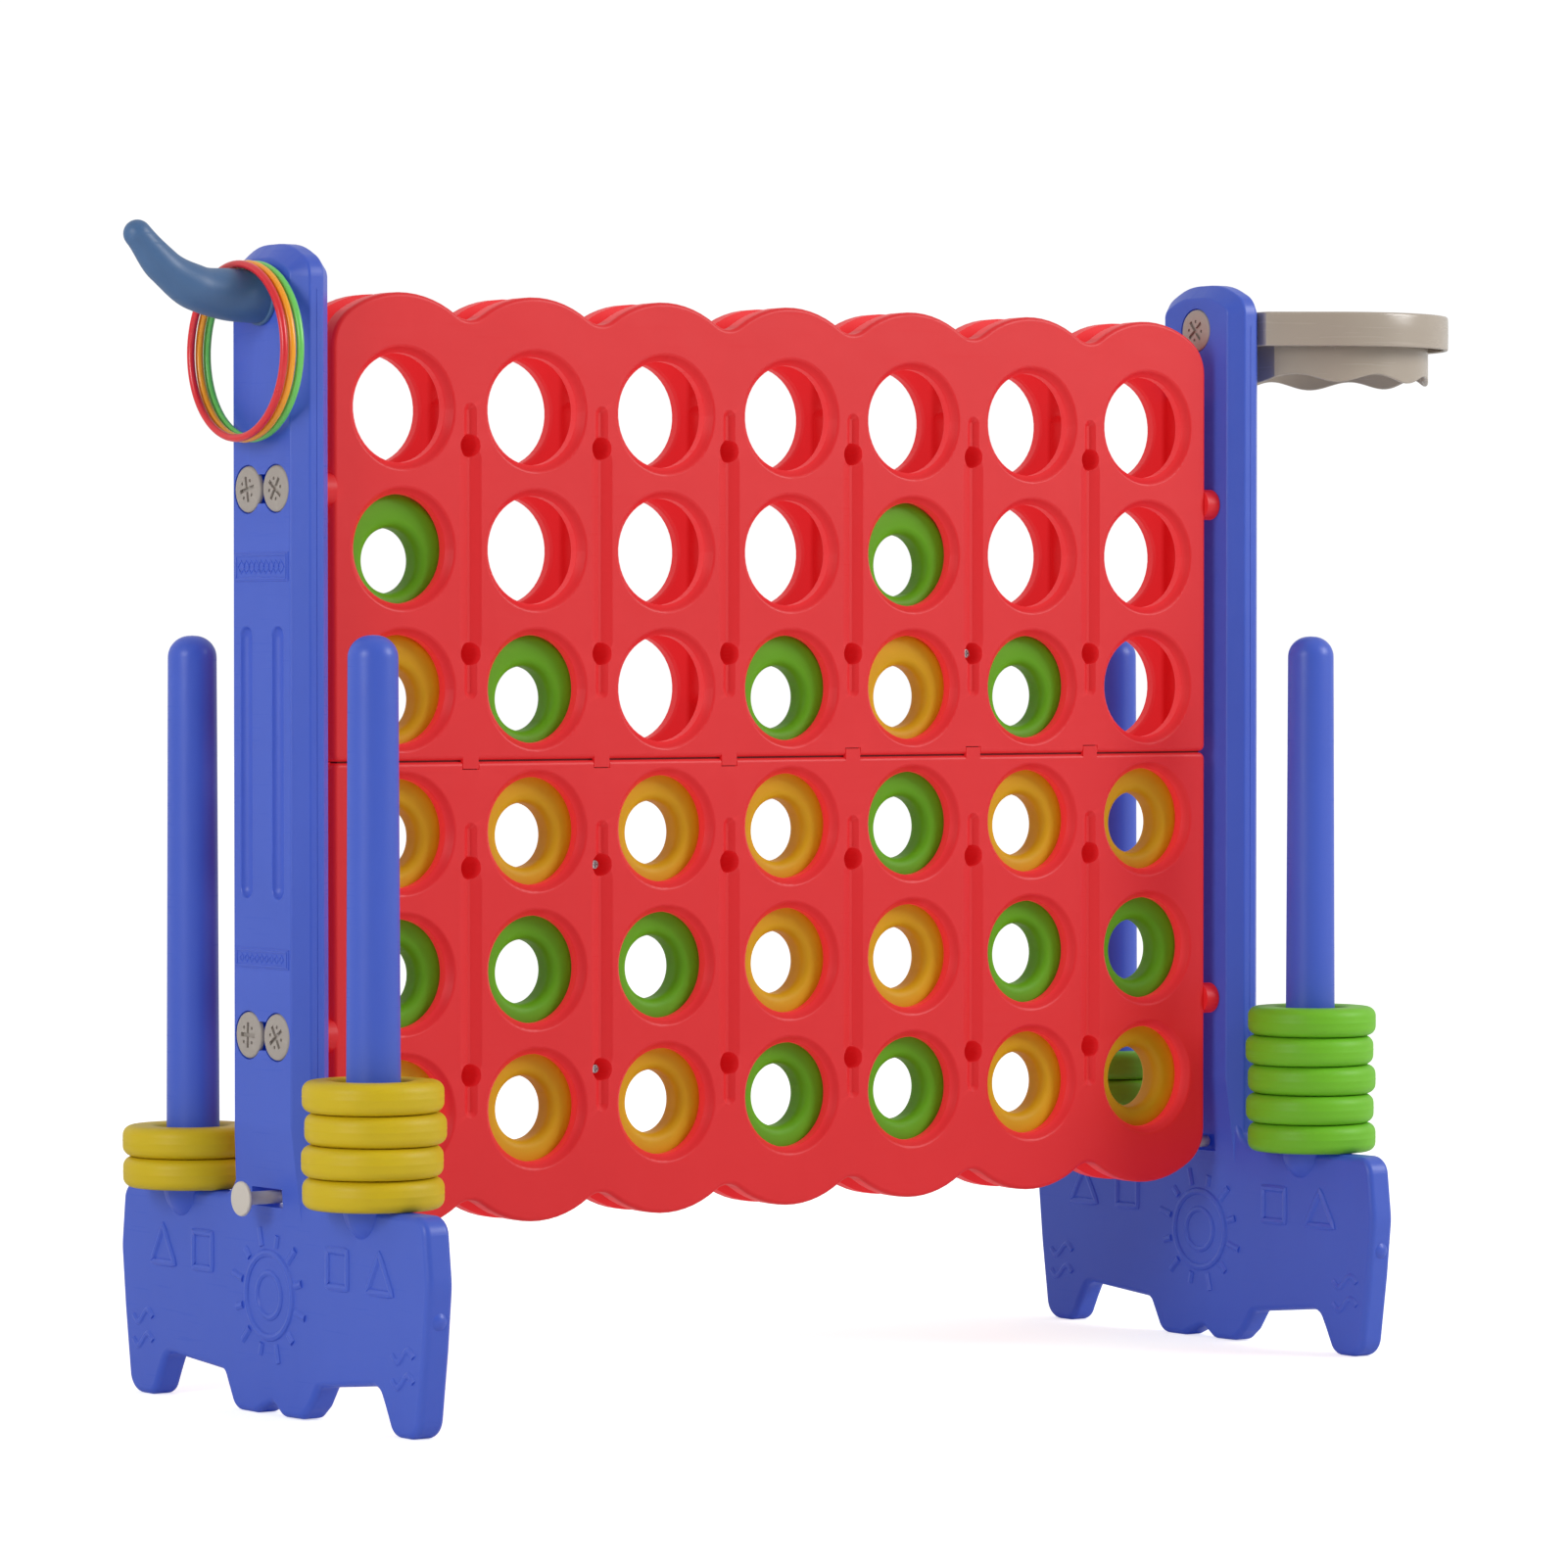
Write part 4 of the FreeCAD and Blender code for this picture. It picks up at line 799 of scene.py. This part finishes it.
def build_toss_hoops():
    """Thin hoops of bent tube with a sleeve joint at the bottom."""
    for node in ("toss_hoop_red", "toss_hoop_orange", "toss_hoop_green"):
        low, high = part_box(node)
        mid = centre(node)
        tube = (high[0] - low[0]) * 0.5
        radius = (high[2] - low[2]) * 0.5 - tube
        segments = HOOP_SEGMENTS
        verts = []
        faces = []
        phase = random.uniform(0, math.tau)
        for i in range(HOOP_STEPS):
            angle = 2 * math.pi * i / HOOP_STEPS
            from_joint = abs((angle - 1.5 * math.pi + math.pi) % (2 * math.pi) - math.pi)
            sleeve = HOOP_SLEEVE if from_joint < HOOP_SLEEVE_HALF else 0.0
            fat = tube * (1.0 + sleeve) * (1.0 + HOOP_UNEVEN * math.sin(3 * angle + phase))
            out = Vector((0.0, math.cos(angle), math.sin(angle)))
            hub = mid + out * (radius + HOOP_WARP * math.sin(2 * angle + phase))
            for k in range(segments):
                a = 2 * math.pi * k / segments
                verts.append(hub + out * fat * math.cos(a) + Vector((1, 0, 0)) * fat * math.sin(a))
        for i in range(HOOP_STEPS):
            j = (i + 1) % HOOP_STEPS
            for k in range(segments):
                m = (k + 1) % segments
                faces.append((i * segments + k, i * segments + m, j * segments + m, j * segments + k))
        slot = "hoop_" + node.split("_")[-1]
        make_piece(node + "_body", verts, faces, body=node, slot=slot, replaced=(node,))


# ---------------------------------------------------------------- basketball rim

def rim_plan(cx, near, radius):
    """Closed plan outline of the rim at one radius: straight sides from the post, then a round front."""
    inset = RIM_R - radius
    far = math.hypot(near - cx, RIM_NECK)
    touch = math.atan2(RIM_NECK, near - cx) - math.acos(RIM_R / far)
    slope = Vector((math.sin(touch), -math.cos(touch)))
    tx = cx + radius * math.cos(touch)
    ty = radius * math.sin(touch)
    end_x = near + inset
    reach = (end_x - tx) / slope.x
    end_y = ty + slope.y * reach
    points = []
    for i in range(RIM_SIDE_STEPS):
        t = i / RIM_SIDE_STEPS
        points.append((end_x + (tx - end_x) * t, -(end_y + (ty - end_y) * t)))
    for i in range(RIM_FRONT_STEPS + 1):
        angle = -touch + 2 * touch * i / RIM_FRONT_STEPS
        points.append((cx + radius * math.cos(angle), radius * math.sin(angle)))
    for i in range(1, RIM_SIDE_STEPS + 1):
        t = 1.0 - i / RIM_SIDE_STEPS
        points.append((end_x + (tx - end_x) * t, end_y + (ty - end_y) * t))
    for i in range(1, RIM_BACK_STEPS):
        t = i / RIM_BACK_STEPS
        points.append((end_x, end_y - 2 * end_y * t))
    return points


def rim_section(top, skirt_low):
    """Section of band and skirt, clockwise: (radius, height, share of the skirt's wave)."""
    band_low = top - RIM_BAND
    inner = SKIRT_R - RIM_WALL
    band_in = RIM_R - RIM_WALL
    under = top - RIM_WALL
    skirt_top = top - 2.0 * MM
    section = [(RIM_R - 1.0 * MM, band_low, 0), (RIM_R, band_low + 1.0 * MM, 0),
               (RIM_R + RIM_SWELL, band_low + 16 * MM, 0), (RIM_R, top - 3.0 * MM, 0),
               (RIM_R - 0.4 * MM, top - 1.2 * MM, 0), (RIM_R - 1.3 * MM, top - 0.3 * MM, 0),
               (RIM_R - 3.0 * MM, top, 0), (RIM_R - 11.0 * MM, top, 0), (inner + 2.0 * MM, top, 0),
               (inner + 0.6 * MM, top - 0.6 * MM, 0), (inner, skirt_top, 0)]
    for i in range(1, SKIRT_STEPS):
        t = i / SKIRT_STEPS
        section.append((inner, skirt_top - (top - SKIRT_FLAT - skirt_low) * t, t))
    section += [(inner + 0.2 * MM, skirt_low + 0.8 * MM, 1.0), (inner + 1.2 * MM, skirt_low, 1.0),
                (SKIRT_R - 1.0 * MM, skirt_low, 1.0), (SKIRT_R, skirt_low + 0.9 * MM, 1.0)]
    for i in range(SKIRT_STEPS - 1, 0, -1):
        t = i / SKIRT_STEPS
        section.append((SKIRT_R, under - (under - SKIRT_FLAT - skirt_low) * t, t))
    section += [(SKIRT_R + 0.8 * MM, under, 0), (band_in - 1.0 * MM, under, 0),
                (band_in, under - 1.0 * MM, 0), (band_in, band_low + 1.0 * MM, 0),
                (band_in + 1.0 * MM, band_low, 0)]
    return section


def build_rim():
    """Flat-topped band over a wavy skirt, one closed section carried round the plan outline."""
    low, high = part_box("basket_rim")
    cx = high[0] - RIM_R
    near = low[0]
    top = high[2]
    section = rim_section(top, low[2])
    loops = [rim_plan(cx, near, r) for r, z, share in section]
    around = len(loops[0])
    count = len(section)
    verts = []
    faces = []
    for s in range(around):
        for i, (r, z, share) in enumerate(section):
            x, y = loops[i][s]
            angle = math.atan2(y, x - cx)
            wave = SKIRT_WAVE * (1.0 + math.sin(SKIRT_WAVES * angle + SKIRT_PHASE)) * share
            verts.append(Vector((x, y, z + wave)))
    for s in range(around):
        nxt = (s + 1) % around
        for i in range(count):
            j = (i + 1) % count
            faces.append((s * count + i, nxt * count + i, nxt * count + j, s * count + j))
    boss = [(0.0, 0.0), (RIM_BOSS_R, 0.0), (RIM_BOSS_R, RIM_BOSS_L - 1.5 * MM),
            (RIM_BOSS_R - 1.0 * MM, RIM_BOSS_L), (0.0, RIM_BOSS_L)]
    stub = moved(lathe(boss, 40, False), Matrix.Translation(Vector((near, 0.0, top - RIM_BOSS_DROP)))
                 @ Matrix.Rotation(math.pi / 2, 4, "Y"))
    make_piece("basket_rim_body", *merge([(verts, faces), stub]), body=STAND, slot="rim_beige",
               replaced=("basket_rim",), sharp=40.0)


# ---------------------------------------------------------------- relief on the side frames

def wire(points, closed, radius):
    """Half-sunk round bead along points."""
    path = list(points)
    if closed:
        path = path + [path[0], path[1]]
    return sweep(path, [radius] * len(path), 10, not closed)


def flat_points(x, pairs):
    return [Vector((x, y, z)) for y, z in pairs]


def circle(r, count):
    """Points round a circle at the sun's height."""
    points = []
    for i in range(count):
        angle = math.radians(360.0 * i / count)
        points.append((r * math.cos(angle), SUN_Z + r * math.sin(angle)))
    return points


def bead(face_x, pairs, radius):
    """Open bead along a polyline, with points added so that no stretch of it is long."""
    dense = []
    for i in range(len(pairs) - 1):
        a = Vector(pairs[i])
        b = Vector(pairs[i + 1])
        parts = max(1, int((b - a).length / RELIEF_STEP))
        for k in range(parts):
            dense.append(tuple(a + (b - a) * k / parts))
    dense.append(tuple(pairs[-1]))
    return wire(flat_points(face_x, dense), False, radius)


def sun(face_x):
    """Two rings and straight rays, long and short in turn."""
    parts = []
    for r, count, share in SUN_RINGS:
        parts.append(wire(flat_points(face_x, circle(r, count)), True, RELIEF_R * share))
    for i in range(SUN_RAYS):
        angle = 2 * math.pi * (i + 0.5) / SUN_RAYS
        reach = RAY_ENDS[i % 2]
        near = (RAY_START * math.cos(angle), SUN_Z + RAY_START * math.sin(angle))
        far = (reach * math.cos(angle), SUN_Z + reach * math.sin(angle))
        parts.append(bead(face_x, [near, far], RELIEF_R))
    return parts


def foot_motif(face_x):
    """A plain sun, squares, triangles and waves: simple shapes in raised line."""
    parts = sun(face_x)
    low, high = SHAPE_LOW, SHAPE_HIGH
    for side in (-1, 1):
        y = side * SQUARE_Y
        half = SQUARE_HALF
        parts.append(bead(face_x, [(y, low), (y + half, low), (y + half, high), (y - half, high),
                                   (y - half, low), (y, low)], RELIEF_R))
        y = side * TRIANGLE_Y
        half = TRIANGLE_HALF
        parts.append(bead(face_x, [(y, low), (y + half, low), (y, high + TRIANGLE_RISE), (y - half, low),
                                   (y, low)], RELIEF_R))
        y = side * WAVE_Y
        for lift in WAVE_LIFTS:
            wave = []
            for i in range(WAVE_STEPS + 1):
                t = i / WAVE_STEPS
                wave.append((y - WAVE_HALF + 2 * WAVE_HALF * t, lift + WAVE_HIGH * math.sin(t * 2 * math.pi)))
            parts.append(bead(face_x, wave, RELIEF_R * FINE_LINE))
    return parts


def plaque_motif(face_x, z, half_y, half_z):
    """Thin frame with a row of plain diamonds inside it."""
    border = [(0.0, z - half_z), (half_y, z - half_z), (half_y, z + half_z), (-half_y, z + half_z),
              (-half_y, z - half_z), (0.0, z - half_z)]
    parts = [bead(face_x, border, PLAQUE_LINE)]
    for i in range(GEMS):
        y = (i - (GEMS - 1) / 2.0) * half_y * GEM_SPREAD / GEMS
        size = half_z * GEM_SIZE
        gem = [(y - size, z), (y, z - size), (y + size, z), (y, z + size), (y - size, z)]
        parts.append(bead(face_x, gem, GEM_LINE))
    return parts


def build_relief():
    """Raised decoration on both faces of each foot and on the outer face of each post."""
    for node, side in (("frame_left", -1.0), ("frame_right", 1.0)):
        low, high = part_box(node)
        mid_x = (low[0] + high[0]) * 0.5
        for word, face in (("outer", side), ("inner", -side)):
            x = mid_x + face * (FOOT_HALF - RELIEF_SINK)
            make_piece("%s_relief_%s" % (node, word), *merge(foot_motif(x)), body=STAND, slot="frame_blue")
        x = mid_x + side * (PLAQUE_FACE - PLAQUE_SINK)
        parts = []
        for z, half_y, half_z in PLAQUES:
            parts += plaque_motif(x, z, half_y, half_z)
        make_piece("%s_plaques" % node, *merge(parts), body=STAND, slot="frame_blue")


# ---------------------------------------------------------------- joint between the panels

def joint_line(lift, drop_half, drop, rise_half, rise, cx, cz):
    """One edge of the joint: straight, with a drop at each line on the left and a rise on the right."""
    points = [(cx - JOINT_END, cz + lift)]
    for line in LINES:
        x = cx + line * COL_PITCH
        half, reach = (drop_half, -drop) if line < 0 else (rise_half, rise)
        points += [(x - half, cz + lift), (x - half, cz + reach),
                   (x + half, cz + reach), (x + half, cz + lift)]
    points.append((cx + JOINT_END, cz + lift))
    return points


def build_panel_joint():
    """The lips by which upper and lower panels meet, so that no light passes through the joint."""
    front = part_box("panel_upper_front")
    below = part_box("panel_lower_front")
    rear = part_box("panel_upper_rear")
    cx = (front[0][0] + front[1][0]) * 0.5
    cy = (front[0][1] + rear[1][1]) * 0.5
    cz = (front[0][2] + below[1][2]) * 0.5
    upper = joint_line(JOINT_HALF, TONGUE_HALF, TONGUE_TIP, NOTCH_HALF, NOTCH_END, cx, cz)
    lower = joint_line(-JOINT_HALF, NOTCH_HALF, NOTCH_END, TONGUE_HALF, TONGUE_TIP, cx, cz)
    count = len(upper)
    for word, side in (("front", -1.0), ("rear", 1.0)):
        verts = []
        for y in (cy + side * JOINT_Y[0], cy + side * JOINT_Y[1]):
            verts += [Vector((x, y, z)) for x, z in upper]
            verts += [Vector((x, y, z)) for x, z in lower]
        faces = []
        far = 2 * count
        for i in range(count - 1):
            up, low = i, count + i
            faces.append((up, up + 1, low + 1, low))
            faces.append((far + up, far + low, far + low + 1, far + up + 1))
            faces.append((up, far + up, far + up + 1, up + 1))
            faces.append((low, low + 1, far + low + 1, far + low))
        for i in (0, count - 1):
            faces.append((i, count + i, far + count + i, far + i))
        # The lips take a darker copy of the board red: painted shade of the deep joint.
        make_piece("panel_joint_%s" % word, verts, faces, body=STAND, slot="board_red",
                   look="board_red_painted_shade")


# ---------------------------------------------------------------- CAD parts shown as they are

def dress_cad():
    """Board panels, side frames and screws keep their CAD shape and get materials."""
    slots = {"panel_upper_front": "board_red", "panel_upper_rear": "board_red",
             "panel_lower_front": "board_red", "panel_lower_rear": "board_red",
             "frame_left": "frame_blue", "frame_right": "frame_blue", "panel_screws": "screw_steel"}
    for node, slot in slots.items():
        obj = frame["nodes"][node]
        obj.data.materials.clear()
        obj.data.materials.append(MATERIALS[slot])


# ---------------------------------------------------------------- stage

def build_floor():
    """Seamless pale floor: its lit parts run into the white background and only soft shadows show."""
    mesh = bpy.data.meshes.new("floor")
    size = FLOOR_HALF
    corners = [(-size, -size, 0), (size, -size, 0), (size, size, 0), (-size, size, 0)]
    mesh.from_pydata(corners, [], [(0, 1, 2, 3)])
    floor = bpy.data.objects.new("floor", mesh)
    bpy.context.scene.collection.objects.link(floor)
    material = bpy.data.materials.new("floor")
    n = Nodes(material)
    out = n.add("ShaderNodeOutputMaterial")
    shader = n.add("ShaderNodeBsdfDiffuse", Color=(0.8, 0.8, 0.8, 1.0))
    glow = n.add("ShaderNodeEmission", Color=(1.0, 1.0, 1.0, 1.0))
    path = n.add("ShaderNodeLightPath")
    n.link(n.maths("MULTIPLY", path, "Is Camera Ray", FLOOR_GLOW), "Value", glow, "Strength")
    total = n.add("ShaderNodeAddShader")
    n.link(shader, "BSDF", total, 0)
    n.link(glow, "Emission", total, 1)
    n.link(total, "Shader", out, "Surface")
    mesh.materials.append(material)


def build_world():
    """White background; as a light it is dimmer on the camera's side, so facing surfaces read deeper."""
    world = bpy.data.worlds.new("world")
    bpy.context.scene.world = world
    n = Nodes(world)
    out = n.add("ShaderNodeOutputWorld")
    place = n.add("ShaderNodeTexCoord")
    toward = n.add("ShaderNodeVectorMath", operation="DOT_PRODUCT")
    yaw = math.radians(CAM_YAW)
    toward.inputs[1].default_value = (-math.sin(yaw), -math.cos(yaw), 0.0)
    n.link(place, "Generated", toward, 0)
    level = n.map_range(toward, "Value", -0.2, 1.0, WORLD_FAR, WORLD_NEAR)
    lighting = n.add("ShaderNodeBackground", Color=(1.0, 0.99, 0.97, 1.0))
    n.link(level, "Result", lighting, "Strength")
    backdrop = n.add("ShaderNodeBackground", Color=(1.0, 1.0, 1.0, 1.0), Strength=BACKDROP)
    path = n.add("ShaderNodeLightPath")
    choice = n.add("ShaderNodeMixShader")
    n.link(path, "Is Camera Ray", choice, 0)
    n.link(lighting, "Background", choice, 1)
    n.link(backdrop, "Background", choice, 2)
    n.link(choice, "Shader", out, "Surface")


def soft_light(name, location, target, size_m, power):
    light = bpy.data.lights.new(name, "AREA")
    light.shape = "DISK"
    light.size = size_m
    light.energy = power
    obj = bpy.data.objects.new(name, light)
    bpy.context.scene.collection.objects.link(obj)
    obj.location = location
    obj.rotation_euler = (Vector(target) - Vector(location)).to_track_quat("-Z", "Y").to_euler()
    obj.visible_camera = False


def build_stage():
    """Pale floor, soft light and the camera."""
    build_floor()
    build_world()
    for name, location, target, size_m, power in LIGHTS:
        soft_light(name, location, target, size_m, power)

    data = bpy.data.cameras.new("camera")
    data.lens = CAM_LENS
    data.sensor_width = CAM_SENSOR
    data.clip_end = CAM_CLIP_END
    camera = bpy.data.objects.new("camera", data)
    bpy.context.scene.collection.objects.link(camera)
    camera.location = CAM_LOCATION
    yaw = math.radians(CAM_YAW)
    pitch = math.radians(CAM_PITCH)
    ahead = Vector((math.sin(yaw) * math.cos(pitch), math.cos(yaw) * math.cos(pitch), math.sin(pitch)))
    camera.rotation_euler = ahead.to_track_quat("-Z", "Y").to_euler()
    bpy.context.scene.camera = camera
    bpy.context.scene.view_settings.view_transform = "Standard"


dress_cad()
build_rings()
build_pegs()
build_release_bar()
build_bolts()
build_horn()
build_toss_hoops()
build_rim()
build_relief()
build_panel_joint()
build_stage()
